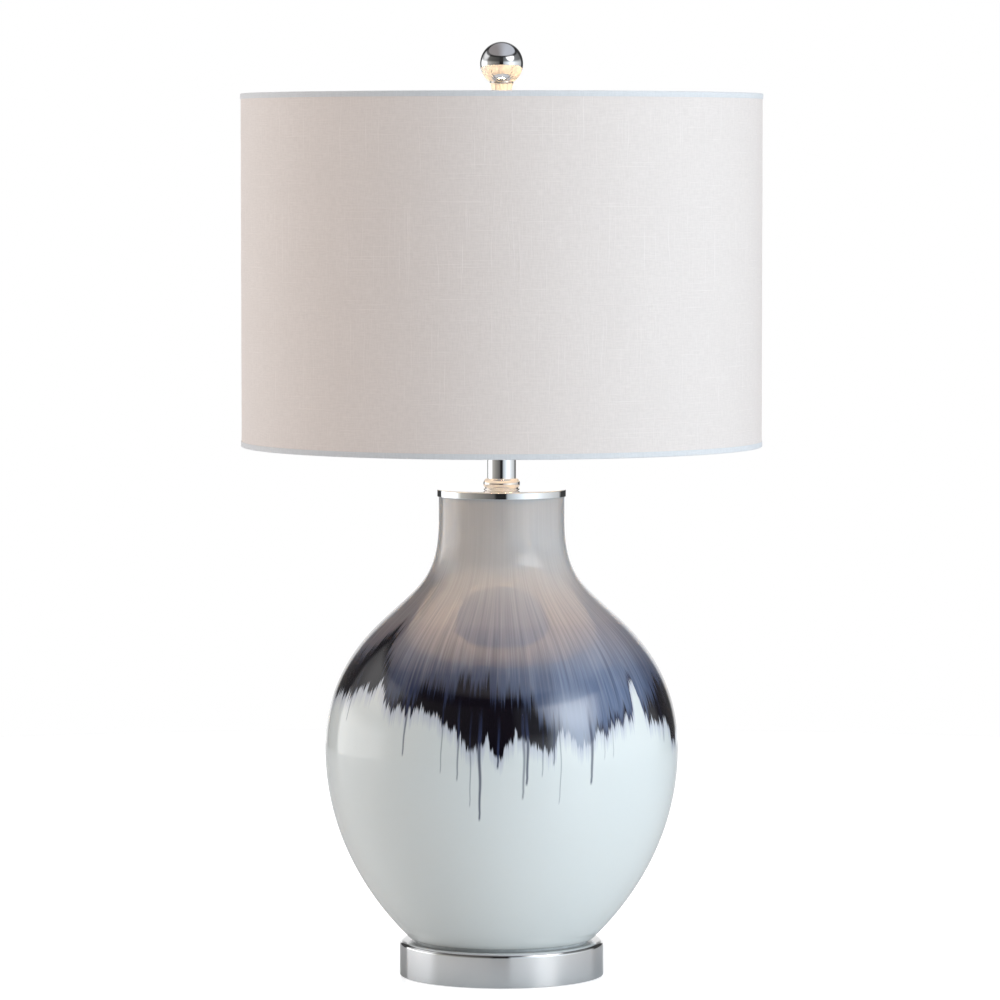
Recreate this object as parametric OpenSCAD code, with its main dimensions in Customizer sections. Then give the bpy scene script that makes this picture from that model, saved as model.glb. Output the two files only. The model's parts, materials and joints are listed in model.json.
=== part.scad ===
// Table lamp: a glass vase on a metal foot, with a drum shade held by a harp and a spider.
// Millimetres. Z is up, the front is -Y, and the origin is the centre of the face the lamp stands on.

/* [Foot] */
// Outer diameter of the foot
foot_d = 149.2; // [100:0.1:220]
// Height of the foot's metal shell
foot_h = 25.1; // [21:0.1:60]
// Thickness of the foot's sheet metal
foot_wall = 1.6; // [0.8:0.1:3]
// Radius of the foot's rounded top edge
foot_edge = 3.5; // [0.5:0.1:4]
// Thickness of the felt pad
pad_t = 2; // [1:0.1:4]
// How far the felt stands below the shell
pad_proud = 0.3; // [0.2:0.1:2]

/* [Vase] */
// Height of the glass
vase_h = 325; // [270:0.5:450]
// Largest diameter of the glass
belly_d = 257.4; // [200:0.2:330]
// Height of the largest diameter above the glass's underside
belly_z = 140; // [110:0.5:170]
// Diameter where the shoulder's curve turns over
shoulder_d = 165.5; // [120:0.5:190]
// Depth of that turn below the rim
shoulder_drop = 88.5; // [70:0.5:110]
// Outer diameter of the neck
neck_d = 91.9; // [70:0.1:110]
// Straight length of the neck below the rim
neck_len = 17.1; // [2:0.1:20]
// Diameter of the glass's flat underside
heel_d = 135.9; // [90:0.1:160]
// Wall of the glass
glass_t = 4.5; // [2.5:0.1:8]
// Thickness of the glass floor
glass_floor = 6; // [4:0.1:12]

/* [Neck] */
// Height of the cap's turned-down rim
cap_h = 5.1; // [2.5:0.1:12]
// Thickness of the cap
cap_t = 2; // [0.8:0.1:2.4]
// Outer diameter of the neck tube
tube_d = 20.9; // [17:0.1:30]
// Length of the neck tube above the cap
tube_len = 64.5; // [50:0.5:120]
// Largest diameter of the collar
collar_d = 26.8; // [25.5:0.1:40]
// Height of the collar
collar_h = 8; // [6:0.1:16]
// Outer diameter of the threaded rod
rod_d = 9.8; // [8:0.1:12]

/* [Harp] */
// Height from the saddle to the seat of the shade
harp_h = 206.5; // [170:0.5:260]
// Width between the centres of the harp's legs
harp_w = 112; // [92:0.5:150]
// Diameter of the harp's wire
wire_d = 3.6; // [3:0.1:4.4]
// Distance of each leg's foot from the middle
leg_x = 28; // [26:0.1:34]
// Length of a ferrule
ferrule_len = 14; // [12:0.5:18]
// How far a ferrule slides up
ferrule_lift = 12; // [10:0.5:14]

/* [Shade] */
// Outer diameter of the shade
shade_d = 379; // [300:0.5:470]
// Height of the shade
shade_h = 255.5; // [205:0.5:320]
// Depth of the spider's hub below the shade's top edge
spider_drop = 12.8; // [6:0.1:30]
// Thickness of the fabric
fabric_t = 0.5; // [0.3:0.05:1.2]
// Thickness of the stiff liner
liner_t = 0.6; // [0.4:0.05:1.5]
// Height of the hem on the outside
hem_h = 4; // [3.5:0.1:8]
// Diameter of the rings' wire
ring_d = 2.8; // [2:0.1:4]

/* [Finial] */
// Diameter of the ball
ball_d = 31.5; // [22:0.1:40]
// Height of the whole finial
finial_h = 50.4; // [45:0.1:70]

/* [Light] */
// Outer diameter of the socket's shell
socket_d = 31.5; // [31.2:0.1:38]
// Height of the socket from the saddle
socket_h = 61; // [59:0.5:75]
// Largest diameter of the bulb
bulb_d = 60; // [56:0.5:70]
// Length of the bulb
bulb_len = 108; // [96:0.5:125]
// Outer diameter of the switch knob
knob_d = 11; // [8:0.1:15]

/* [Hidden] */
$fn = 96;

// Clearances
fit_gap = 0.08;   // round pieces that slide or turn in each other
free_gap = 0.4;   // pieces that only pass each other
seat_gap = 0.2;   // faces of two moving pieces that rest on each other
turn_gap = 0.05;  // under the finial's foot, so that it turns freely on the spider

// Heights of the stack, from the table up
foot_r = foot_d / 2;
foot_top = pad_proud + foot_h;
foot_under = foot_top - foot_wall;
gasket_t = 1.5;
vase_z = foot_top + gasket_t;
vase_top = vase_z + vase_h;
rim_gasket_t = 1.5;
cap_under = vase_top + rim_gasket_t;
cap_top = cap_under + cap_t;
tube_r = tube_d / 2;
tube_wall = 1.2;
tube_top = cap_top + tube_len;
tube_ring_t = 1.6;
saddle_z = tube_top + tube_ring_t;
saddle_t = 1.8;
socket_z = saddle_z + saddle_t;
hub_z = saddle_z + harp_h;
hub_t = 1.5;
finial_z = hub_z + hub_t + turn_gap;
shade_top = finial_z + spider_drop;
shade_bottom = shade_top - shade_h;

// Rod and what is clamped on it
rod_r = rod_d / 2;
rod_bore = rod_r - 1.6;
rod_hole = rod_r + 0.15;
web_t = 6;            // weight's web that the nut pulls against
washer_t = 1.6;
nut_t = 4;
nut_af = rod_d + 5.2; // across the flats
web_under = foot_under - web_t;
nut_z = web_under - 2 * washer_t - nut_t;
rod_z = nut_z - 2;
rod_top = socket_z + 7.5;
thread_pitch = 1.25;
thread_depth = 0.45;

// Weight
foot_fillet = 0.6 * foot_edge;
weight_r = foot_r - foot_wall - foot_fillet - free_gap;
weight_z = nut_z - 0.7;
recess_r = 28;

// Cord inlet in the back of the foot
inlet_r = 3.2;
grommet_body = inlet_r + 1.4;
grommet_flange = inlet_r + 2.6;
flange_t = 1.5;
inlet_z = weight_z + grommet_flange - 1.8;
channel_w = 2 * grommet_flange + 2.4;
channel_top = inlet_z + grommet_flange + free_gap;

// Vase: fullness of each curve, as a share of the curve's height
vase_hole = 14;
cove_full = [0.58, 0.474];
shoulder_full = [0.196, 0.567];
belly_full = [0.468, 0.272];
shoulder_slope = -42.5;  // degrees, going outwards and down
heel_slope = -135.5;     // degrees, going inwards and down
heel_round = 1.8;
curve_steps = 22;

// Cap and collar
skirt_t = 1;
cap_r = neck_d / 2 + free_gap + skirt_t;
cap_edge = 0.6;
collar_r = collar_d / 2;

// Harp
wire_r = wire_d / 2;
saddle_w = 11;
saddle_rise = 5;
post_z = saddle_z + saddle_rise + saddle_t;
lap_z = post_z + 4;
lap_len = 6;
lap_gap = 0.03;
leg_top = post_z + ferrule_len + ferrule_lift + 2;
leg_bend_r = 20;
leg_lean = 35;
knee_r = 40;
crown_r = 44;
half_w = harp_w / 2;
stud_flange_t = 3;
stud_flange_r = 6.5;
stud_r = 3.1;
stud_len = 13;
rivet_r = 2.2;
eye_t = wire_d + 0.4;     // flat eye at the top of the wire, where the stud is riveted
wire_z = hub_z - stud_flange_t - eye_t / 2;
ferrule_r = wire_r + 1.6;

// Shade
shade_r = shade_d / 2;
hem_t = 0.4;
fabric_r = shade_r - hem_t;
liner_r = fabric_r - fabric_t;
ring_r = ring_d / 2;
ring_path = liner_r - liner_t - ring_r;
ring_top_z = shade_top - hem_t - ring_r;
ring_low_z = shade_bottom + hem_t + ring_r;
hub_r = 12.5;
arm_r = 1.7;
arm_z = hub_z + hub_t - arm_r - 0.1;   // the arms stay under the finial's seat
arm_start = 9.5;
arm_bend = ring_path - 22;
arm_angles = [90, 210, 330];

// Finial
finial_foot_r = 8.5;
finial_waist_r = 6.2;
finial_lip_r = 8.9;
ball_z = finial_z + finial_h - ball_d / 2;
lip_z = ball_z - sqrt(pow(ball_d / 2, 2) - pow(finial_lip_r - 1.2, 2)) + 0.3;

// Socket and switch
socket_r = socket_d / 2;
cap_rim = socket_r + 1.1;
shell_t = 0.8;
sleeve_t = 0.6;
sleeve_r = socket_r - shell_t - 0.05;
block_r = sleeve_r - sleeve_t - 0.05;
block_z = socket_z + 13;
block_h = 19;
block_top = block_z + block_h;
shell_top = socket_z + socket_h;
screw_wave = 0.4;
screw_pitch = 3.63;
cup_r = block_r - screw_wave - 0.1;
cup_t = 0.5;
bulb_screw_r = cup_r - cup_t - screw_wave - 0.05;
terminal_x = 8;
screw_head_r = 3;
screw_shank_r = 1.4;
screw_len = 8.2;
screw_head_z = -2.6;    // underside of the block to the middle of the screw's head
switch_z = block_z + 9;
shaft_r = 1.6;
bush_r = 3;
bush_flange_r = 4.6;
bush_end = socket_r + 2.6;
knob_start = bush_end + 0.6;
knob_len = 12;
shaft_in = 3;
cam_room = 5.6;
cam_side = 6.2;
cam_t = 4;

// Bulb
bulb_tip = block_top + 3.3;
bulb_r = bulb_d / 2;
globe_z = bulb_tip + bulb_len - bulb_r;
globe_cut = globe_z - 0.43 * bulb_r;
globe_cut_r = sqrt(bulb_r * bulb_r - pow(globe_z - globe_cut, 2));
globe_t = 1.2;
board_top = globe_cut - 2;
chip_t = 1;
screw_low = bulb_tip + 4;
screw_high = bulb_tip + 6 * screw_pitch + 4;

// Leads inside the rod, from a terminal down into a crimp cap: x is mirrored for the second lead
lead_r = 0.9;
lead_route = [
    [terminal_x - screw_shank_r - lap_gap, 0, block_z - 1.3],
    [4, 0, block_z - 1.4],
    [1.3, 0, socket_z + 8],
    [1.3, 0, rod_z - 0.5],
    [1.8, 1.6, rod_z - 1.6],
    [3.2, 6, rod_z - 1.4],
    [3.6, 10, rod_z],
    [3.6, 18, rod_z]
];
crimp_r = 2.7;
crimp_y = 12;
crimp_len = 14;

// ---------------------------------------------------------------- helpers

function bezier(a, b, c, d, n) = [for (i = [0:n]) let (t = i / n, s = 1 - t)
    s * s * s * a + 3 * s * s * t * b + 3 * s * t * t * c + t * t * t * d];

function heading(angle) = [cos(angle), sin(angle)];

// Points of an arc about c, from one angle to another
function arc(c, r, from, to, n) = [for (i = [0:n]) c + r * heading(from + (to - from) * i / n)];

// The outline moved sideways, to the right of its direction of travel, by t
function beside(line, t) = [for (i = [0:len(line) - 1])
    let (a = line[max(i - 1, 0)], b = line[min(i + 1, len(line) - 1)], d = (b - a) / norm(b - a))
    line[i] + t * [d[1], -d[0]]];

module tube(r_out, r_in, low, high) {
    translate([0, 0, low]) difference() {
        cylinder(r = r_out, h = high - low);
        translate([0, 0, -1]) cylinder(r = r_in, h = high - low + 2);
    }
}

module revolve(points) {
    rotate_extrude() polygon(points);
}

// A round bar between two points
module bar(a, b, r) {
    d = b - a;
    translate(a) rotate([0, acos(d[2] / norm(d)), atan2(d[1], d[0])]) cylinder(r = r, h = norm(d));
}

// A thin lead along a route: a ring of sides points at each of its points, square to its direction there
module lead(route, r, sides = 8) {
    n = len(route);
    rings = [for (i = [0:n - 1]) let (
        d = route[min(i + 1, n - 1)] - route[max(i - 1, 0)],
        u = cross([0.3, 1, 0.2], d) / norm(cross([0.3, 1, 0.2], d)),
        v = cross(d, u) / norm(d)
    ) for (k = [0:sides - 1]) route[i] + r * (cos(360 * k / sides) * u + sin(360 * k / sides) * v)];
    polyhedron(rings, concat(
        [[for (k = [sides - 1:-1:0]) k]],
        [for (i = [0:n - 2], k = [0:sides - 1]) let (a = i * sides + k, b = i * sides + (k + 1) % sides)
            [a, b, b + sides, a + sides]],
        [[for (k = [0:sides - 1]) (n - 1) * sides + k]]
    ), convexity = 4);
}

// A stretch of round thread drawn as rings: a list of [radius, z]
function rings(r, low, high, pitch, depth) = [
    for (i = [0:floor((high - low) / pitch) - 1])
    for (p = [[r, low + i * pitch], [r - depth, low + (i + 0.5) * pitch]]) p];

// The rolled thread of a lamp screw: a list of [radius, z]
function roll(r, low, high) = [
    for (z = [low:screw_pitch / 8:high]) [r + screw_wave * cos(360 * (z - low) / screw_pitch), z]];

// ---------------------------------------------------------------- foot

module felt_pad() {
    color("#3a3a3c") cylinder(r = foot_r - foot_wall - 0.3, h = pad_t);
}

module base_weight() {
    color("#4a4a4a") difference() {
        tube(weight_r, rod_hole, weight_z, foot_under);
        translate([0, 0, weight_z - 1]) cylinder(r = recess_r, h = web_under - weight_z + 1);
        translate([-channel_w / 2, recess_r - 4, weight_z - 1])
            cube([channel_w, foot_r - recess_r + 4, channel_top - weight_z + 1]);
    }
}

module base_foot() {
    inner = foot_r - foot_wall;
    color("#d9dde0") difference() {
        revolve(concat(
            [[rod_hole, foot_under], [rod_hole, foot_top]],
            arc([foot_r - foot_edge, foot_top - foot_edge], foot_edge, 90, 0, 6),
            [[foot_r, pad_proud], [inner, pad_proud]],
            [[inner, foot_under - foot_fillet], [inner - foot_fillet, foot_under]]
        ));
        translate([0, inner - 2, inlet_z]) rotate([-90, 0, 0])
            cylinder(r = grommet_body, h = foot_wall + 4);
    }
}

module cord_grommet() {
    inside = foot_r - foot_wall;
    color("#222222") translate([0, 0, inlet_z]) rotate([-90, 0, 0]) difference() {
        union() {
            translate([0, 0, inside - flange_t]) cylinder(r = grommet_body, h = foot_wall + 2 * flange_t);
            intersection() {
                translate([0, 0, foot_r - 1]) cylinder(r = grommet_flange, h = flange_t + 1);
                rotate([90, 0, 0]) tube(foot_r + flange_t, foot_r, -grommet_flange, grommet_flange);
            }
            intersection() {
                translate([0, 0, inside - flange_t]) cylinder(r = grommet_flange, h = flange_t);
                rotate([90, 0, 0]) cylinder(r = inside, h = 3 * grommet_flange, center = true);
            }
        }
        translate([0, 0, inside - flange_t - 1]) cylinder(r = inlet_r, h = foot_wall + 2 * flange_t + 2);
    }
}

// ---------------------------------------------------------------- rod and its fastenings

module threaded_rod() {
    low = rings(rod_r, rod_z + 0.6, foot_under - 2, thread_pitch, thread_depth);
    high = rings(rod_r, socket_z - 6, rod_top - 0.6, thread_pitch, thread_depth);
    color("#c9b46a") revolve(concat(
        [[rod_bore, rod_z], [rod_r - 0.5, rod_z]], low, [[rod_r, foot_under - 1]],
        [[rod_r, socket_z - 7]], high, [[rod_r - 0.5, rod_top], [rod_bore, rod_top]]
    ));
}

module rod_washer() {
    color("#b8bcc0") tube(rod_r + 6, rod_hole, web_under - washer_t, web_under);
}

module lock_washer() {
    color("#9ea3a8") difference() {
        tube(rod_r + 3.6, rod_hole, web_under - 2 * washer_t, web_under - washer_t);
        translate([rod_r - 1, 0.6, web_under - 1.5 * washer_t]) rotate([20, 0, 0])
            cube([8, 1.2, 4 * washer_t], center = true);
    }
}

module rod_nut() {
    color("#b8bcc0") difference() {
        intersection() {
            translate([0, 0, nut_z]) cylinder(r = nut_af / 2 / cos(30), h = nut_t, $fn = 6);
            translate([0, 0, nut_z]) cylinder(r1 = nut_af / 2 + 0.2, r2 = nut_af / 2 + 4, h = nut_t);
        }
        translate([0, 0, nut_z - 1]) cylinder(r = rod_r + fit_gap, h = nut_t + 2);
    }
}

module seat_gasket() {
    color("#e6e8e6") tube(heel_d / 2 - 5, heel_d / 2 - 30, foot_top, vase_z);
}

module rod_bush() {
    color("#2b2b2b") {
        difference() {
            union() {
                translate([0, 0, vase_z]) cylinder(r = vase_hole - 0.2, h = glass_floor + 2);
                translate([0, 0, vase_z + glass_floor]) cylinder(r = vase_hole + 4, h = 2);
            }
            translate([0, 0, vase_z - 1]) cylinder(r = rod_r + fit_gap, h = glass_floor + 4);
        }
    }
}

// ---------------------------------------------------------------- vase

// The outside of the glass, from the rim down to the underside, as [radius, height above the underside]
function vase_outline() =
    let (
        neck = [neck_d / 2, vase_h - neck_len],
        turn = [shoulder_d / 2, vase_h - shoulder_drop],
        belly = [belly_d / 2, belly_z],
        heel = [heel_d / 2, 1.2],
        cove = neck[1] - turn[1],
        rise = turn[1] - belly[1],
        out = heading(shoulder_slope),
        under = heading(heel_slope)
    )
    concat(
        [[neck_d / 2, vase_h]],
        bezier(neck, neck - [0, cove_full[0] * cove], turn - cove_full[1] * cove * out, turn, curve_steps),
        [for (p = bezier(turn, turn + shoulder_full[0] * rise * out,
            belly + [0, shoulder_full[1] * rise], belly, curve_steps)) if (p != turn) p],
        [for (p = bezier(belly, belly - [0, belly_full[0] * belly[1]],
            heel - belly_full[1] * belly[1] * under, heel, curve_steps)) if (p != belly) p],
        [for (p = bezier(heel, heel + 0.6 * heel_round * under, [heel[0] - heel_round, 0],
            [heel[0] - 1.6 * heel_round, 0], 4)) if (p != heel) p]
    );

module glass_body() {
    outside = vase_outline();
    inside = [for (p = beside(outside, glass_t)) if (p[1] > glass_floor + 2 && p[1] < vase_h - 0.5) p];
    lowest = inside[len(inside) - 1];
    wall = concat([[neck_d / 2 - glass_t, vase_h]], inside, [[lowest[0] - 3, glass_floor]]);
    turned = [for (i = [len(wall) - 1:-1:0]) wall[i]];
    color("#dfe5ea") translate([0, 0, vase_z])
        revolve(concat(outside, [[vase_hole, 0], [vase_hole, glass_floor]], turned));
}

// ---------------------------------------------------------------- cap, collar and neck tube

module rim_gasket() {
    color("#e6e8e6") tube(neck_d / 2 - 0.3, neck_d / 2 - glass_t, vase_top, cap_under);
}

module vase_cap() {
    skirt = cap_r - skirt_t;
    color("#d9dde0") revolve(concat(
        [[rod_hole, cap_under], [rod_hole, cap_top]],
        arc([cap_r - cap_edge, cap_top - cap_edge], cap_edge, 90, 0, 4),
        [[cap_r, cap_top - cap_h], [skirt, cap_top - cap_h], [skirt, cap_under]]
    ));
}

module neck_collar() {
    hole = tube_r + 0.05;
    swell = collar_r - hole;
    middle = 0.52 * collar_h;
    color("#d9dde0") translate([0, 0, cap_top]) revolve(concat(
        [[hole, 0], [collar_r - 0.5, 0], [collar_r - 0.9, 0.5], [collar_r - 1.5, 0.13 * collar_h]],
        [for (a = [-62:12:82]) [hole + swell * cos(a), middle + 0.46 * collar_h * sin(a)]],
        [[hole, 0.98 * collar_h]]
    ));
}

module neck_tube() {
    color("#d9dde0") tube(tube_r, tube_r - tube_wall, cap_top, tube_top);
}

module tube_ring() {
    color("#d9dde0") difference() {
        union() {
            translate([0, 0, tube_top]) cylinder(r = tube_r + 1.4, h = tube_ring_t);
            translate([0, 0, tube_top - 3]) cylinder(r = tube_r - tube_wall - 0.05, h = 4);
        }
        translate([0, 0, tube_top - 4]) cylinder(r = rod_hole, h = tube_ring_t + 5);
    }
}

// ---------------------------------------------------------------- harp

// A round post or leg with half of it cut away over the lap: side 1 leaves the outer half, side -1 the inner
module lapped(low, high, side) {
    cut = wire_r + 1;
    translate([leg_x, 0, 0]) difference() {
        translate([0, 0, low]) cylinder(r = wire_r, h = high - low);
        translate([side > 0 ? -cut + lap_gap : -lap_gap, -cut, side > 0 ? low - 1 : lap_z])
            cube([cut, 2 * cut, side > 0 ? lap_z + lap_len - low + 1 : high]);
    }
}

module harp_saddle() {
    flat = 14;
    ramp = leg_x - 6;
    tip = leg_x + 5;
    half = [[0, 0], [flat, 0], [ramp, saddle_rise], [tip, saddle_rise],
        [tip, saddle_rise + saddle_t], [ramp - 0.7, saddle_rise + saddle_t], [flat - 0.7, saddle_t], [0, saddle_t]];
    color("#c4c7ca") difference() {
        union() {
            for (s = [0, 1]) mirror([s, 0, 0]) {
                translate([0, saddle_w / 2, saddle_z]) rotate([90, 0, 0]) linear_extrude(saddle_w) polygon(half);
                lapped(post_z, lap_z + lap_len, -1);
            }
        }
        translate([0, 0, saddle_z - 1]) cylinder(r = rod_hole, h = saddle_t + 2);
    }
}

// A bend of the harp's wire in the XZ plane, about [x, z], between two angles from +X.
// It is a hair thinner than the straight wire and runs a little way into it at both ends.
module wire_bend(c, r, from, to) {
    lap = 0.3 / r * 180 / PI;
    translate([c[0], 0, c[1]]) rotate([90, 0, 0]) rotate([0, 0, from - lap])
        rotate_extrude(angle = to - from + 2 * lap) translate([r, 0]) circle(r = wire_r - 0.02);
}

module harp_wire() {
    // Corners of one side: foot bend, leaning stretch, knee, upright, crown
    a = [leg_x + leg_bend_r * (1 - cos(leg_lean)), leg_top + leg_bend_r * sin(leg_lean)];
    b_x = half_w - knee_r * (1 - cos(leg_lean));
    b = [b_x, a[1] + (b_x - a[0]) / tan(leg_lean)];
    knee_top = b[1] + knee_r * sin(leg_lean);
    crown_z = wire_z - crown_r;
    $fn = 48;
    color("#c4c7ca") difference() {
        union() {
            for (s = [0, 1]) mirror([s, 0, 0]) {
                lapped(lap_z, leg_top, 1);
                wire_bend([leg_x + leg_bend_r, leg_top], leg_bend_r, 180 - leg_lean, 180);
                wire_bend([half_w - knee_r, knee_top], knee_r, -leg_lean, 0);
                wire_bend([half_w - crown_r, crown_z], crown_r, 0, 90);
                bar([a[0], 0, a[1]], [b[0], 0, b[1]], wire_r);
                bar([half_w, 0, knee_top], [half_w, 0, crown_z], wire_r);
            }
            bar([crown_r - half_w, 0, wire_z], [half_w - crown_r, 0, wire_z], wire_r);
            translate([0, 0, wire_z - eye_t / 2]) cylinder(r = stud_flange_r, h = eye_t);
        }
        translate([0, 0, wire_z - eye_t]) cylinder(r = rivet_r + 0.05, h = 2 * eye_t);
    }
}

module harp_stud() {
    under = wire_z - eye_t / 2;
    crest = hub_z + stud_len;
    color("#c4c7ca") revolve(concat(
        [[0, under - 1.4], [rivet_r + 1, under - 1.4], [rivet_r + 1.6, under], [rivet_r, under]],
        [[rivet_r, under + eye_t], [stud_flange_r, under + eye_t], [stud_flange_r, hub_z]],
        rings(stud_r, hub_z, crest - 0.8, 0.94, 0.35),
        [[stud_r - 0.5, crest], [0, crest]]
    ));
}

module ferrule(side) {
    color("#d9dde0") translate([side * leg_x, 0, post_z + seat_gap]) revolve([
        [wire_r + fit_gap, 0], [ferrule_r + 0.5, 0], [ferrule_r + 0.5, 1.2], [ferrule_r, 2],
        [ferrule_r, ferrule_len - 2.5], [ferrule_r - 0.7, ferrule_len], [wire_r + fit_gap, ferrule_len]
    ]);
}

module ferrule_left() { ferrule(-1); }

module ferrule_right() { ferrule(1); }

// ---------------------------------------------------------------- socket and switch

// A hole along -Y at the height of the switch
module switch_hole(r, from, to) {
    translate([0, -from, switch_z]) rotate([90, 0, 0]) cylinder(r = r, h = to - from);
}

module socket_cap() {
    bush = rod_r + 3.2;
    rim = cap_rim - 1;
    color("#c9ccd0") difference() {
        translate([0, 0, socket_z]) revolve([
            [rod_r + fit_gap, 0], [bush, 0], [bush + 0.6, 2.2], [cap_rim - 3, 6.5], [cap_rim - 0.6, 10],
            [cap_rim, 12.5], [cap_rim, 18], [rim, 18], [rim, 12.8], [rim - 2.6, 7.8], [bush - 0.6, 4],
            [bush - 0.6, 9], [rod_r + fit_gap, 9]
        ]);
        switch_hole(bush_flange_r + fit_gap, socket_r - 2, socket_r + 4);
    }
}

module socket_shell() {
    color("#c9ccd0") difference() {
        revolve([
            [socket_r - shell_t, socket_z + 12.9], [socket_r, socket_z + 12.9],
            [socket_r, shell_top - 4], [socket_r + 0.7, shell_top - 3], [socket_r + 0.7, shell_top - 2],
            [socket_r, shell_top - 1], [socket_r, shell_top], [socket_r - shell_t, shell_top]
        ]);
        switch_hole(bush_r, socket_r - 4, socket_r + 4);
    }
}

module socket_liner() {
    color("#8a7a5c") difference() {
        tube(sleeve_r, sleeve_r - sleeve_t, block_z, shell_top - 1);
        switch_hole(bush_r, socket_r - 4, socket_r + 4);
    }
}

module socket_block() {
    color("#26221f") difference() {
        translate([0, 0, block_z]) cylinder(r = block_r, h = block_h);
        switch_hole(shaft_r + 0.4, 0, block_r + 1);
        switch_hole(cam_room, shaft_in, shaft_in + cam_t + 2);
        for (s = [-1, 1]) translate([s * terminal_x, 0, block_z - 1])
            cylinder(r = screw_shank_r + 0.1, h = screw_len + screw_head_z + 1.4);
    }
}

module screw_shell() {
    low = block_top;
    high = low + 2 + 6 * screw_pitch;
    outer = roll(cup_r, low + 1, high - 0.4);
    color("#cdb56a") {
        revolve(concat(
            [[5, low], [cup_r, low]], outer,
            [for (i = [len(outer) - 1:-1:0]) outer[i] - [cup_t, 0]],
            [[cup_r - cup_t, low + 0.5], [5, low + 0.5]]
        ));
    }
}

module center_contact() {
    color("#cdb56a") {
        translate([0, 0, block_top]) cylinder(r = 4, h = 1);
        translate([0, 0, block_top + 1]) cylinder(r1 = 3.2, r2 = 2.4, h = 1.7);
    }
}

module terminal_screws() {
    color("#cdb56a") for (s = [-1, 1]) translate([s * terminal_x, 0, block_z]) {
        translate([0, 0, screw_head_z]) cylinder(r = screw_shank_r, h = screw_len);
        difference() {
            translate([0, 0, screw_head_z - 1]) cylinder(r = screw_head_r, h = 1.2);
            translate([-screw_head_r - 1, -0.4, screw_head_z - 1.6]) cube([2 * screw_head_r + 2, 0.8, 1.1]);
        }
    }
}

module switch_bushing() {
    color("#b8bcc0") difference() {
        union() {
            switch_hole(bush_r - 0.1, block_r + 0.1, bush_end);
            difference() {
                switch_hole(bush_flange_r, socket_r - 0.5, bush_end - 0.8);
                tube(socket_r + 0.02, 1, switch_z - 8, switch_z + 8);
            }
        }
        switch_hole(shaft_r + fit_gap, 0, bush_end + 2);
    }
}

module switch_shaft() {
    color("#cdb56a") switch_hole(shaft_r, shaft_in + 0.5, knob_start + knob_len - 3);
}

module switch_cam() {
    color("#8d5a3a") difference() {
        translate([0, -(shaft_in + 1), switch_z]) rotate([90, 0, 0]) intersection() {
            translate([-cam_side / 2, -cam_side / 2, 0]) cube([cam_side, cam_side, cam_t]);
            cylinder(r = 0.62 * cam_side, h = cam_t);
        }
        switch_hole(shaft_r, 0, 2 * cam_t + shaft_in);
    }
}

module switch_knob() {
    knob_r = knob_d / 2;
    flutes = 14;
    color("#1d1d1f") difference() {
        translate([0, -knob_start, switch_z]) rotate([90, 0, 0]) difference() {
            union() {
                cylinder(r = knob_r - 1.2, h = 1.5);
                translate([0, 0, 1.5]) cylinder(r1 = knob_r - 0.4, r2 = knob_r, h = 1);
                translate([0, 0, 2.5]) cylinder(r = knob_r, h = knob_len - 4);
                translate([0, 0, knob_len - 1.5]) cylinder(r1 = knob_r, r2 = knob_r - 1.4, h = 1.5);
            }
            for (i = [0:flutes - 1]) rotate([0, 0, 360 * i / flutes])
                translate([knob_r + 0.25, 0, 1]) cylinder(r = 0.75, h = knob_len);
        }
        switch_hole(shaft_r, 0, knob_start + knob_len - 3);
    }
}

module lead_wires() {
    color("#e8e8e8") for (s = [0, 1]) mirror([s, 0, 0]) lead(lead_route, lead_r);
}

module crimp_caps() {
    end = lead_route[len(lead_route) - 1];
    color("#c8ccd2") for (s = [0, 1]) mirror([s, 0, 0]) translate([end[0], crimp_y, end[2]])
        rotate([-90, 0, 0]) difference() {
            union() {
                cylinder(r = crimp_r, h = crimp_len);
                translate([0, 0, crimp_len]) sphere(r = crimp_r);
            }
            translate([0, 0, -1]) cylinder(r = lead_r + 0.1, h = end[1] - crimp_y + 1.2);
        }
}

// ---------------------------------------------------------------- bulb

module bulb_contact() {
    color("#9fa3a6") translate([0, 0, bulb_tip]) revolve([[0, 0], [2.4, 0.2], [3.4, 1], [3.4, 1.6], [0, 1.6]]);
}

module bulb_insulator() {
    color("#1a1a1c") translate([0, 0, bulb_tip]) revolve([[0, 1.6], [4.4, 1.6], [9, 4], [0, 4]]);
}

module bulb_screw_base() {
    outer = roll(bulb_screw_r, screw_low + 1.5, screw_high - 1);
    color("#b9bcc0") revolve(concat(
        [[7, screw_low], [bulb_screw_r - 1.4, screw_low]], outer,
        [[bulb_screw_r, screw_high], [bulb_screw_r - 1.6, screw_high], [bulb_screw_r - 1.6, screw_low + 1],
        [7, screw_low + 1]]
    ));
}

module bulb_housing() {
    foot = [bulb_screw_r + 0.5, screw_high];
    rim = [globe_cut_r, globe_cut];
    side = bezier(foot, foot + [0.5, 14], rim - [6, 16], rim, 12);
    color("#eceef0") difference() {
        revolve(concat(side, [for (i = [12:-1:0]) beside(side, -2)[i]]));
        translate([0, 0, globe_cut]) cylinder(r = bulb_r, h = 2);
    }
}

module led_board() {
    color("#f4f4f2") translate([0, 0, board_top - 1.6]) cylinder(r = globe_cut_r - 5, h = 1.6);
}

module led_chips() {
    color("#f2d675") for (i = [0:11]) rotate([0, 0, 30 * i])
        translate([globe_cut_r - 12, 0, board_top + chip_t / 2]) cube([2.8, 2.8, chip_t], center = true);
}

module bulb_globe() {
    color("#fff6e6") difference() {
        translate([0, 0, globe_z]) sphere(r = bulb_r);
        translate([0, 0, globe_z]) sphere(r = bulb_r - globe_t);
        translate([0, 0, globe_cut - bulb_d]) cylinder(r = bulb_d, h = bulb_d);
    }
}

// ---------------------------------------------------------------- shade

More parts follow.
